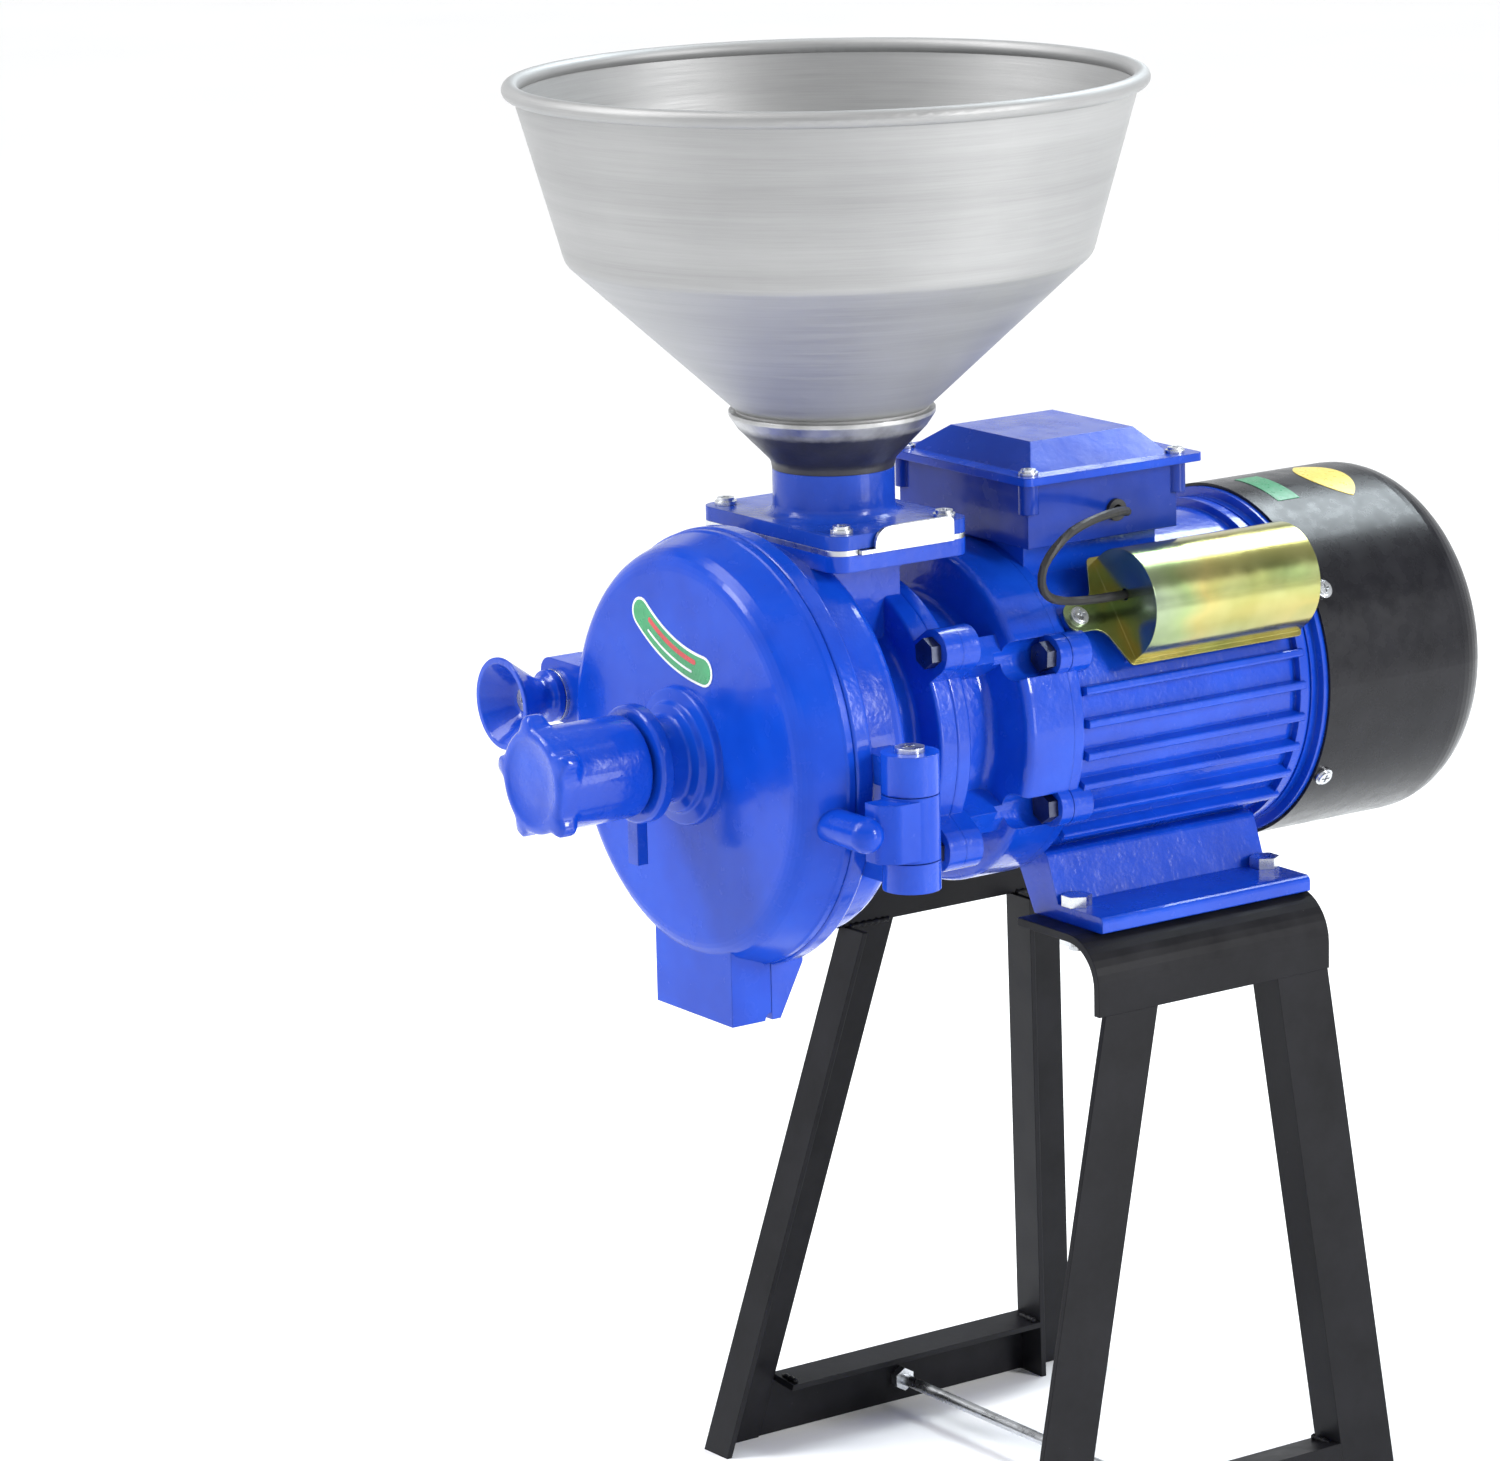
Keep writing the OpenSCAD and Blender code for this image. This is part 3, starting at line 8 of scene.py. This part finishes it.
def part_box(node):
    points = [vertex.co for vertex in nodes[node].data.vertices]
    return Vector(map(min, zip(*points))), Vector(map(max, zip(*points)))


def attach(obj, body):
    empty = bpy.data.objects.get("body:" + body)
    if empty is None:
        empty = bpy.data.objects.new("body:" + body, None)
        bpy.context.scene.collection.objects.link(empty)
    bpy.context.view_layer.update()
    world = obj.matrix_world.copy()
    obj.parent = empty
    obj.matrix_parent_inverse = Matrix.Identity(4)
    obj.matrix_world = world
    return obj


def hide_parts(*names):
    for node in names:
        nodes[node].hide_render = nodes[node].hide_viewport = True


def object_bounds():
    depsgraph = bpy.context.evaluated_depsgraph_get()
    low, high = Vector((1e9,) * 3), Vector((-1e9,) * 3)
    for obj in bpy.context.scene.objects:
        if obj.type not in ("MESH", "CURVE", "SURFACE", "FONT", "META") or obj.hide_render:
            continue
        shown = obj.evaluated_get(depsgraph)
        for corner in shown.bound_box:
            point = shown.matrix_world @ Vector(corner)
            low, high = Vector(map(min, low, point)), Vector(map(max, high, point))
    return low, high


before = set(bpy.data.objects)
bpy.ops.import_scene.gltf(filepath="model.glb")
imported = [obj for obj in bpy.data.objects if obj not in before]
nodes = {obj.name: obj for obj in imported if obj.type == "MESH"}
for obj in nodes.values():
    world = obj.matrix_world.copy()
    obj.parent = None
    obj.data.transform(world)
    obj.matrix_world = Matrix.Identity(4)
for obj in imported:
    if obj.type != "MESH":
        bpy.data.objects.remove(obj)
cad_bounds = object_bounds()
scene = bpy.context.scene

# Fixed places, from the CAD: the shaft's axis, and the door joint
shaft_low, shaft_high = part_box("motor_shaft")
shaft_z = (shaft_low.z + shaft_high.z) / 2
joint_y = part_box("mill_body")[0].y
mm = 0.001


# ---------------------------------------------------------------- meshes

def mesh_object(name, verts, faces, smooth=True):
    mesh = bpy.data.meshes.new(name)
    mesh.from_pydata([tuple(v) for v in verts], [], faces)
    mesh.validate()
    mesh.update()
    obj = bpy.data.objects.new(name, mesh)
    scene.collection.objects.link(obj)
    if smooth:
        for p in mesh.polygons:
            p.use_smooth = True
    return obj


def banana(bend_r, half_sweep, width, steps=24):
    """Outline of a curved band with round ends, as (x, z) points, its low side outwards."""
    half = width / 2
    end_steps = 10
    arc = [half_sweep * (2 * i / steps - 1) for i in range(steps + 1)]
    pts = [((bend_r + half) * math.sin(a), -(bend_r + half) * math.cos(a)) for a in arc]
    for i in range(1, end_steps):
        a = half_sweep - math.pi / 2 + math.pi * i / end_steps
        pts.append((bend_r * math.sin(half_sweep) + half * math.cos(a),
                    -bend_r * math.cos(half_sweep) + half * math.sin(a)))
    pts += [((bend_r - half) * math.sin(a), -(bend_r - half) * math.cos(a)) for a in reversed(arc)]
    for i in range(1, end_steps):
        a = math.pi / 2 - half_sweep + math.pi * i / end_steps
        pts.append((-bend_r * math.sin(half_sweep) + half * math.cos(a),
                    -bend_r * math.cos(half_sweep) + half * math.sin(a)))
    return [(x, z + bend_r) for x, z in pts]


def plate(name, outline, place, thickness):
    """Thin plate: place(x, z, depth) gives the point of an outline point at a depth below the face."""
    n = len(outline)
    verts = [place(x, z, 0) for x, z in outline] + [place(x, z, thickness) for x, z in outline]
    faces = [list(range(n)), list(range(2 * n - 1, n - 1, -1))]
    faces += [[i, n + i, n + (i + 1) % n, (i + 1) % n] for i in range(n)]
    return mesh_object(name, verts, faces, smooth=False)


def bead(name, path, radius, seed):
    """Weld bead along a path: a lumpy half-sunk tube."""
    rnd = random.Random(seed)
    verts, faces = [], []
    ring = 10
    spacing = 0.0012
    end_share = 0.35
    steps = []
    for a, b in zip(path[:-1], path[1:]):
        n = max(2, int((b - a).length / spacing))
        steps += [a.lerp(b, i / n) for i in range(n)]
    steps.append(path[-1])
    last = len(steps) - 1
    for i, p in enumerate(steps):
        ahead = (steps[min(i + 1, last)] - steps[max(i - 1, 0)]).normalized()
        side = ahead.cross(Vector((0.3, 0.2, 0.9))).normalized()
        up = side.cross(ahead)
        lump = 0.82 + 0.22 * math.sin(i * 1.9) + rnd.uniform(-0.07, 0.07)
        r = radius * (end_share if i in (0, last) else lump)
        for k in range(ring):
            a = 2 * math.pi * k / ring
            verts.append(p + side * r * math.cos(a) + up * r * math.sin(a))
    for i in range(last):
        for k in range(ring):
            k2 = (k + 1) % ring
            faces.append([i * ring + k, (i + 1) * ring + k, (i + 1) * ring + k2, i * ring + k2])
    faces.append(list(range(ring)))
    faces.append([last * ring + k for k in reversed(range(ring))])
    return mesh_object(name, verts, faces)


# ---------------------------------------------------------------- materials

class Nodes:
    """Short calls for building a material's node tree."""

    def __init__(self, name):
        self.mat = bpy.data.materials.new(name)
        self.mat.use_nodes = True
        self.tree = self.mat.node_tree
        self.shader = self.tree.nodes["Principled BSDF"]
        self.coord = self.tree.nodes.new("ShaderNodeTexCoord").outputs["Object"]

    def link(self, out, socket):
        self.tree.links.new(out, socket)

    def feed(self, value, socket):
        """Set a socket to a number or a colour, or link another node's output to it."""
        if isinstance(value, tuple):
            socket.default_value = (*value, 1)
        elif isinstance(value, (int, float)):
            socket.default_value = value
        else:
            self.link(value, socket)

    def set(self, **values):
        for key, value in values.items():
            self.feed(value, self.shader.inputs[key.replace("_", " ")])

    def scaled(self, scale):
        node = self.tree.nodes.new("ShaderNodeMapping")
        node.inputs["Scale"].default_value = scale
        self.link(self.coord, node.inputs["Vector"])
        return node.outputs["Vector"]

    def noise(self, scale, detail=3, rough=0.5, stretch=(1, 1, 1)):
        node = self.tree.nodes.new("ShaderNodeTexNoise")
        node.inputs["Scale"].default_value = scale
        node.inputs["Detail"].default_value = detail
        node.inputs["Roughness"].default_value = rough
        self.link(self.scaled(stretch), node.inputs["Vector"])
        return node.outputs["Fac"]

    def ramp(self, fac, stops):
        node = self.tree.nodes.new("ShaderNodeValToRGB")
        elements = node.color_ramp.elements
        while len(elements) < len(stops):
            elements.new(0.5)
        for element, (place, value) in zip(elements, stops):
            element.position = place
            element.color = (*value, 1) if isinstance(value, tuple) else (value, value, value, 1)
        self.link(fac, node.inputs["Fac"])
        return node.outputs["Color"]

    def math(self, kind, a, b):
        node = self.tree.nodes.new("ShaderNodeMath")
        node.operation = kind
        for value, socket in zip((a, b), node.inputs):
            self.feed(value, socket)
        return node.outputs["Value"]

    def span(self, value, low, high, to_low=0.0, to_high=1.0):
        node = self.tree.nodes.new("ShaderNodeMapRange")
        node.inputs["From Min"].default_value = low
        node.inputs["From Max"].default_value = high
        node.inputs["To Min"].default_value = to_low
        node.inputs["To Max"].default_value = to_high
        self.link(value, node.inputs["Value"])
        return node.outputs["Result"]

    def mix(self, fac, a, b):
        node = self.tree.nodes.new("ShaderNodeMix")
        node.data_type = "RGBA"
        for value, name in ((fac, "Factor"), (a, "A"), (b, "B")):
            self.feed(value, node.inputs[name])
        return node.outputs["Result"]

    def axis(self, name):
        node = self.tree.nodes.new("ShaderNodeSeparateXYZ")
        self.link(self.coord, node.inputs["Vector"])
        return node.outputs[name]

    def edges(self, radius):
        """Rounded normal at the edges of a casting or sheet."""
        node = self.tree.nodes.new("ShaderNodeBevel")
        node.samples = 4
        node.inputs["Radius"].default_value = radius
        return node.outputs["Normal"]

    def bump(self, height, strength, distance, normal=None):
        node = self.tree.nodes.new("ShaderNodeBump")
        node.inputs["Strength"].default_value = strength
        node.inputs["Distance"].default_value = distance
        self.link(height, node.inputs["Height"])
        if normal is not None:
            self.link(normal, node.inputs["Normal"])
        return node.outputs["Normal"]

    def finish(self, color=None, rough=None, normal=None, metal=None):
        for value, name in ((color, "Base Color"), (rough, "Roughness"), (normal, "Normal"),
                            (metal, "Metallic")):
            if value is not None:
                self.feed(value, self.shader.inputs[name])
        return self.mat


def cast_paint(name, base, dark, lit, peel=0.25, coat=0.14):
    """Glossy enamel over a sand casting: peel, low waves, pits and thin dark chips."""
    n = Nodes(name)
    n.set(Coat_Weight=coat, Coat_Roughness=0.05, Specular_IOR_Level=0.2)
    tint = n.ramp(n.noise(26, 3, 0.5), [(0.3, dark), (0.52, base), (0.75, lit)])
    chip = n.ramp(n.noise(240, 6, 0.7), [(0.7, 0.0), (0.72, 1.0)])
    color = n.mix(n.math("MULTIPLY", chip, 0.5), tint, tuple(c * 0.3 for c in base))
    rough = n.span(n.noise(90, 3), 0.3, 0.7, 0.16, 0.3)
    waves = n.bump(n.noise(110, 2), peel, 1.2 * mm, n.edges(1.0 * mm))
    pits = n.bump(n.noise(480, 2, 0.5), peel, 0.35 * mm, waves)
    return n.finish(color, rough, pits)


def bare_metal(name, color, rough, stretch=(1, 1, 1), grain=900, strength=0.12, stain=None):
    """Bare or plated metal with a grain, stains and edge rounding."""
    n = Nodes(name)
    stain = stain or tuple(c * 0.72 for c in color)
    tint = n.ramp(n.noise(60, 5, 0.6), [(0.3, stain), (0.6, color)])
    grains = n.noise(grain, 3, 0.6, stretch)
    r = n.span(n.noise(150, 4), 0.3, 0.7, rough * 0.75, rough * 1.3)
    return n.finish(tint, r, n.bump(grains, strength, 0.15 * mm, n.edges(0.4 * mm)), 1.0)


def plain(name, color, rough, grain=700, strength=0.1, coat=0.0, shine=0.5):
    """Plastic, rubber or enamel."""
    n = Nodes(name)
    n.set(Coat_Weight=coat, Coat_Roughness=0.12, Specular_IOR_Level=shine)
    light = tuple(c * 1.5 + 0.003 for c in color)
    tint = n.ramp(n.noise(45, 4, 0.6), [(0.35, color), (0.8, light)])
    r = n.span(n.noise(120, 3), 0.3, 0.7, rough * 0.8, rough * 1.2)
    return n.finish(tint, r, n.bump(n.noise(grain, 3), strength, 0.2 * mm, n.edges(0.5 * mm)))


def spun_aluminium():
    """Spinning lines round the hopper, with bands of duller and brighter metal."""
    n = Nodes("spun_aluminium")
    lines = n.noise(30, 5, 0.75, (0.6, 0.6, 42))
    bands = n.noise(9, 3, 0.6, (0.3, 0.3, 12))
    cloud = n.noise(14, 3, 0.5)
    fine = n.noise(30, 5, 0.75, (0.5, 0.5, 170))
    grey = n.mix(0.5, n.ramp(lines, [(0.25, 0.26), (0.7, 0.47)]), n.ramp(bands, [(0.3, 0.3), (0.7, 0.44)]))
    grey = n.mix(0.25, grey, n.ramp(cloud, [(0.3, (0.3, 0.3, 0.303)), (0.7, (0.45, 0.45, 0.446))]))
    rough = n.span(lines, 0.3, 0.7, 0.46, 0.62)
    coarse = n.bump(lines, 0.22, 0.25 * mm, n.edges(0.5 * mm))
    return n.finish(grey, rough, n.bump(fine, 0.16, 0.12 * mm, coarse), 0.62)


def dark_adaptor():
    """Charcoal casting, bare grey round the collar."""
    n = Nodes("dark_adaptor")
    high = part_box("hopper_adaptor")[1].z
    z = n.axis("Z")
    worn = n.noise(160, 4, 0.6)
    level = n.math("ADD", z, n.math("MULTIPLY", worn, 3 * mm))
    bare = n.span(level, high - 8 * mm, high - 4 * mm)
    tint = n.ramp(n.noise(50, 4), [(0.3, (0.018, 0.018, 0.024)), (0.7, (0.036, 0.036, 0.045))])
    metal = n.ramp(n.noise(90, 4), [(0.3, (0.3, 0.3, 0.3)), (0.7, (0.52, 0.52, 0.52))])
    color = n.mix(bare, tint, metal)
    rough = n.span(n.noise(120, 3), 0.3, 0.7, 0.32, 0.5)
    pits = n.bump(n.noise(500, 3), 0.22, 0.3 * mm, n.edges(0.8 * mm))
    return n.finish(color, rough, pits, n.math("MULTIPLY", bare, 0.85))


def yellow_zinc():
    """Iridescent yellow plating: gold, straw, green and a little violet in slow clouds."""
    n = Nodes("yellow_zinc")
    clouds = n.noise(15, 2, 0.5, (1, 0.6, 1.8))
    film = n.ramp(clouds, [(0.25, (0.24, 0.36, 0.13)), (0.42, (0.4, 0.38, 0.11)), (0.5, (0.5, 0.42, 0.13)),
                           (0.6, (0.25, 0.38, 0.16)), (0.75, (0.2, 0.3, 0.27))])
    streak = n.ramp(n.noise(60, 3, 0.5), [(0.35, (0.34, 0.32, 0.11)), (0.7, (0.55, 0.52, 0.26))])
    rough = n.span(n.noise(70, 3), 0.3, 0.7, 0.17, 0.25)
    n.set(Coat_Weight=0.3, Coat_Roughness=0.1)
    return n.finish(n.mix(0.3, film, streak), rough,
                    n.bump(n.noise(120, 2), 0.05, 0.3 * mm, n.edges(0.6 * mm)), 0.95)


def stand_enamel():
    """Black stoving enamel on rolled angle, worn through in small random chips."""
    n = Nodes("stand_enamel")
    n.set(Specular_IOR_Level=0.14)
    tint = n.ramp(n.noise(30, 5, 0.65), [(0.3, (0.006, 0.006, 0.0075)), (0.72, (0.013, 0.013, 0.016))])
    chip = n.ramp(n.noise(300, 6, 0.75), [(0.7, 0.0), (0.73, 1.0)])
    color = n.mix(n.math("MULTIPLY", chip, 0.5), tint, (0.12, 0.12, 0.125))
    rough = n.span(n.noise(60, 4), 0.3, 0.7, 0.3, 0.48)
    scale = n.bump(n.noise(240, 4, 0.6), 0.16, 0.3 * mm, n.edges(0.7 * mm))
    return n.finish(color, rough, scale)


def cowl_decal():
    """Two plain stickers, green to the front and yellow to the back."""
    n = Nodes("cowl_decal")
    low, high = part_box("cowl_labels")
    split = low.y + 0.3 * (high.y - low.y)
    y = n.axis("Y")
    back = n.math("GREATER_THAN", y, split)
    mottle = n.noise(400, 3)
    green = n.ramp(mottle, [(0.3, (0.012, 0.19, 0.075)), (0.7, (0.02, 0.26, 0.11))])
    yellow = n.ramp(mottle, [(0.3, (0.62, 0.47, 0.06)), (0.7, (0.75, 0.58, 0.1))])
    rough = n.span(n.noise(300, 3), 0.3, 0.7, 0.25, 0.4)
    return n.finish(n.mix(back, green, yellow), rough, n.bump(mottle, 0.05, 0.1 * mm))


# Base, dark and lit colours of the casting's paint
BLUE = ((0.004, 0.056, 0.5), (0.003, 0.045, 0.43), (0.006, 0.07, 0.56))
finishes = {
    "spun_aluminium": spun_aluminium(),
    "dark_adaptor": dark_adaptor(),
    "blue_paint": cast_paint("blue_paint", *BLUE, peel=0.4, coat=0.4),
    "zinc": bare_metal("zinc", (0.7, 0.72, 0.75), 0.28, strength=0.06),
    "bare_iron": bare_metal("bare_iron", (0.32, 0.31, 0.3), 0.5, stain=(0.14, 0.1, 0.075)),
    "ground_steel": bare_metal("ground_steel", (0.62, 0.63, 0.64), 0.24, (1, 12, 1)),
    "lamination": bare_metal("lamination", (0.28, 0.28, 0.29), 0.42, (1, 60, 1), 60, 0.5),
    "varnished_copper": bare_metal("varnished_copper", (0.55, 0.2, 0.07), 0.3, (1, 8, 1), 120, 0.4),
    "governor_brass": bare_metal("governor_brass", (0.66, 0.48, 0.2), 0.3),
    "dark_bolts": bare_metal("dark_bolts", (0.1, 0.11, 0.15), 0.34, stain=(0.05, 0.055, 0.09)),
    "fan_plastic": plain("fan_plastic", (0.02, 0.02, 0.022), 0.5),
    "black_enamel": plain("black_enamel", (0.007, 0.007, 0.0095), 0.28, 260, 0.04, 0.06, shine=0.22),
    "black_rubber": plain("black_rubber", (0.012, 0.012, 0.013), 0.55, 900, 0.25),
    "gland_plastic": plain("gland_plastic", (0.016, 0.016, 0.018), 0.42),
    "board_plastic": plain("board_plastic", (0.1, 0.045, 0.02), 0.4),
    "yellow_zinc": yellow_zinc(),
    "capacitor_case": plain("capacitor_case", (0.5, 0.5, 0.48), 0.35),
    "door_decal": plain("door_decal", (0.012, 0.26, 0.09), 0.28, 500, 0.04, 0.3),
    "cowl_decal": cowl_decal(),
    "stand_enamel": stand_enamel(),
}
decal_border = plain("decal_border", (0.72, 0.76, 0.76), 0.3, 500, 0.04, 0.3)
decal_red = plain("decal_red", (0.5, 0.03, 0.035), 0.3, 500, 0.04, 0.3)
neck_paint = cast_paint("neck_paint", (0.012, 0.06, 0.44), (0.009, 0.045, 0.34), (0.016, 0.075, 0.52))
smooth_paint = cast_paint("smooth_paint", *BLUE, peel=0.1)
# Nodes with their own copy of the casting paint: smoother on the door and lid, a darker, greyer blue on the
# neck and a darker blue on the terminal box
SPECIAL = {"feed_neck": neck_paint, "door": smooth_paint, "box_lid": smooth_paint,
           "terminal_box": cast_paint("box_paint", (0.006, 0.034, 0.3), (0.004, 0.026, 0.24),
                                      (0.008, 0.042, 0.36), peel=0.14)}

for name, obj in nodes.items():
    for slot in obj.material_slots:
        key = slot.material.name.split(".")[0] if slot.material else ""
        if name in SPECIAL:
            slot.material = SPECIAL[name]
        elif key in finishes:
            slot.material = finishes[key]
        else:
            print("no finish for", name, key)


# ---------------------------------------------------------------- added pieces

def paint(obj, material, body):
    obj.data.materials.append(material)
    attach(obj, body)


def door_sticker():
    """Banana sticker on the door: silver edge, green field and a red bow."""
    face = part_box("door_label")[1].y
    tilt = math.radians(21.6)
    place_x, place_z = -8 * mm, shaft_z + 50 * mm

    def on_door(proud):
        def place(x, z, depth):
            wx = place_x + x * math.cos(tilt) + z * math.sin(tilt)
            wz = place_z - x * math.sin(tilt) + z * math.cos(tilt)
            return (wx, face - proud + depth, wz)
        return place

    bend_r, sweep, off_middle = 90 * mm, math.radians(18), 2.6 * mm
    border = plate("door_sticker_edge", banana(bend_r, sweep, 15 * mm), on_door(0.32 * mm), 0.3 * mm)
    field = plate("door_sticker_field", banana(bend_r, sweep, 12.4 * mm), on_door(0.42 * mm), 0.2 * mm)
    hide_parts("door_label")
    paint(border, decal_border, "door")
    paint(field, finishes["door_decal"], "door")
    bow = [(x, z + off_middle) for x, z in banana(88 * mm, math.radians(13), 2.6 * mm)]
    line = [(x, z - off_middle) for x, z in banana(92 * mm, math.radians(12), 1.2 * mm)]
    for name, outline, tone in (("door_sticker_bow", bow, decal_red),
                                ("door_sticker_line", line, decal_border)):
        paint(plate(name, outline, on_door(0.5 * mm), 0.15 * mm), tone, "door")


def star_wheel():
    """Handwheel whose five grips flow out of the cylinder, with a dished face inside a raised rim."""
    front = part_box("handwheel")[0].y
    grips, first_grip = 5, 100
    grip_height, grip_half_width = 6.3 * mm, 3.9
    cylinder_r = 25
    # Distance behind the front and radius, in mm, and share of the grips' height
    rows = [(1.2, 0.01, 0), (1.2, 10, 0), (1.0, 18.6, 0), (0.5, 19.6, 0), (0.05, 20.6, 0), (0.0, 22.2, 0),
            (0.35, 23.6, 0.3), (1.2, 24.7, 0.8), (2.4, 25, 0.97), (4, 25, 1), (8, 25, 1), (9.6, 25, 0.95),
            (11, 25, 0.7), (12.2, 25, 0.3), (13.4, 25, 0.06), (15, 25, 0), (30, 24.9, 0), (50, 24.7, 0),
            (52, 24.3, 0), (53.4, 23.3, 0), (54, 21.8, 0), (54, 10.1, 0), (9, 10.1, 0), (9, 0.01, 0)]
    ring = 200
    verts, faces = [], []
    for back, r, share in rows:
        for k in range(ring):
            a = 2 * math.pi * k / ring
            lift = 0
            for i in range(grips):
                grip_at = math.radians(i * 360 // grips + first_grip)
                off = (a - grip_at + math.pi) % (2 * math.pi) - math.pi
                lift += 1 / (1 + (off * cylinder_r / grip_half_width) ** 4)
            radius = r * mm + grip_height * share * lift
            verts.append((radius * math.cos(a), front + back * mm, shaft_z + radius * math.sin(a)))
    for j in range(len(rows) - 1):
        for k in range(ring):
            k2 = (k + 1) % ring
            faces.append([j * ring + k, j * ring + k2, (j + 1) * ring + k2, (j + 1) * ring + k])
    last = (len(rows) - 1) * ring
    faces.append(list(reversed(range(ring))))
    faces.append(list(range(last, last + ring)))
    obj = mesh_object("star_wheel", verts, faces)
    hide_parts("handwheel")
    paint(obj, finishes["blue_paint"], "handwheel")


def weld_beads():
    """Beads where the stand's angles meet the rails and the bars."""
    inset = 3 * mm
    for k, name in enumerate(("right_front_leg", "right_rear_leg", "left_front_leg", "left_rear_leg")):
        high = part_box(name)[1]
        top = [v.co for v in nodes[name].data.vertices if v.co.z > high.z - 0.5 * mm]
        side = 1 if high.x > 0 else -1
        outer = max(abs(p.x) for p in top) * side
        skin = outer - side * 3.6 * mm
        y0, y1 = min(p.y for p in top), max(p.y for p in top)
        path = [Vector((skin, y0 + inset, high.z)), Vector((skin, y1 - inset, high.z))]
        obj = bead("weld_top_%d" % k, path, 1.9 * mm, 11 + k)
        paint(obj, finishes["stand_enamel"], "machine")
    for k, name in enumerate(("right_bar", "left_bar")):
        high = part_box(name)[1]
        side = 1 if high.x > 0 else -1
        points = [v.co for v in nodes[name].data.vertices]
        for end, furthest, step in ((0, min, inset), (1, max, -inset)):
            y = furthest(p.y for p in points)
            tip = [p for p in points if abs(p.y - y) < 12 * mm and p.z > high.z - 4 * mm]
            inner = min(tip, key=lambda p: abs(p.x))
            path = [Vector((inner.x + side * reach * mm, inner.y + step, high.z - 0.5 * mm))
                    for reach in (1, 14)]
            obj = bead("weld_bar_%d_%d" % (k, end), path, 1.7 * mm, 31 + 2 * k + end)
            paint(obj, finishes["stand_enamel"], "machine")


door_sticker()
star_wheel()
weld_beads()


# ---------------------------------------------------------------- floor, light and camera

def add_floor():
    half = 30
    low = cad_bounds[0][2]
    corners = [(-half, -half, low), (half, -half, low), (half, half, low), (-half, half, low)]
    floor = mesh_object("floor", corners, [[0, 1, 2, 3]], smooth=False)
    n = Nodes("floor")
    tint = n.ramp(n.noise(3, 3), [(0.3, 0.95), (0.7, 0.97)])
    floor.data.materials.append(n.finish(tint, 0.6))


def area_light(name, place, target, size, power, color=(1, 1, 1)):
    light = bpy.data.lights.new(name, "AREA")
    light.shape = "RECTANGLE"
    light.size, light.size_y = size
    light.energy = power
    light.color = color
    obj = bpy.data.objects.new(name, light)
    scene.collection.objects.link(obj)
    obj.location = place
    obj.rotation_euler = (Vector(target) - Vector(place)).to_track_quat("-Z", "Y").to_euler()
    obj.visible_camera = False


add_floor()
middle = Vector((0, joint_y + 0.1, shaft_z))
sun = bpy.data.lights.new("sun", "SUN")
sun.energy = 1.65
sun.angle = math.radians(35)
sun_object = bpy.data.objects.new("sun", sun)
scene.collection.objects.link(sun_object)
sun_object.rotation_euler = Vector((0.45, 0.5, -0.95)).to_track_quat("-Z", "Y").to_euler()
area_light("key", (-1.1, -2.1, 1.9), middle, (0.6, 0.8), 26)
area_light("right_low", (2.5, 1.1, 0.35), middle, (0.8, 0.7), 9)
area_light("right_high", (2.2, 1.0, 1.5), middle, (0.35, 0.9), 40)
area_light("top", (-0.5, 1.5, 2.1), middle, (1.4, 0.5), 34, (0.85, 0.95, 1.0))

world = bpy.data.worlds.new("studio")
scene.world = world
world.use_nodes = True
studio = world.node_tree
background = studio.nodes["Background"]
sky = studio.nodes.new("ShaderNodeTexCoord")
height = studio.nodes.new("ShaderNodeSeparateXYZ")
band = studio.nodes.new("ShaderNodeValToRGB")
studio.links.new(sky.outputs["Generated"], height.inputs["Vector"])
studio.links.new(height.outputs["Z"], band.inputs["Fac"])
studio.links.new(band.outputs["Color"], background.inputs["Color"])
# Pale to 20 degrees above the horizon, dim at 29, and rising to white overhead
pale = (0.96, 0.98, 1.0)
band.color_ramp.elements.new(0.5)
for element, (place, color) in zip(band.color_ramp.elements,
                                   [(0.34, pale), (0.48, tuple(0.13 * c for c in pale)), (1.0, (1, 1, 1))]):
    element.position = place
    element.color = (*color, 1)
background.inputs["Strength"].default_value = 1.0
scene.view_settings.view_transform = "Standard"

camera_data = bpy.data.cameras.new("camera")
camera = bpy.data.objects.new("camera", camera_data)
scene.collection.objects.link(camera)
azimuth, elevation, roll = math.radians(55.53), math.radians(13.0), math.radians(-1.36)
back = Vector((math.sin(azimuth) * math.cos(elevation), -math.cos(azimuth) * math.cos(elevation),
               math.sin(elevation)))
right = Vector((math.cos(azimuth), math.sin(azimuth), 0))
up = back.cross(right)
turned_right = right * math.cos(roll) + up * math.sin(roll)
turned_up = up * math.cos(roll) - right * math.sin(roll)
axes = (turned_right, turned_up, back)
camera.rotation_euler = Matrix([[a[i] for a in axes] for i in range(3)]).to_euler()
to_right, to_front, above = 2.24145, 1.52571, 0.63387
camera.location = Vector((to_right, joint_y - to_front, shaft_z + above))
camera_data.lens = 140.04
camera_data.sensor_width = 36
camera_data.clip_end = 100
scene.camera = camera
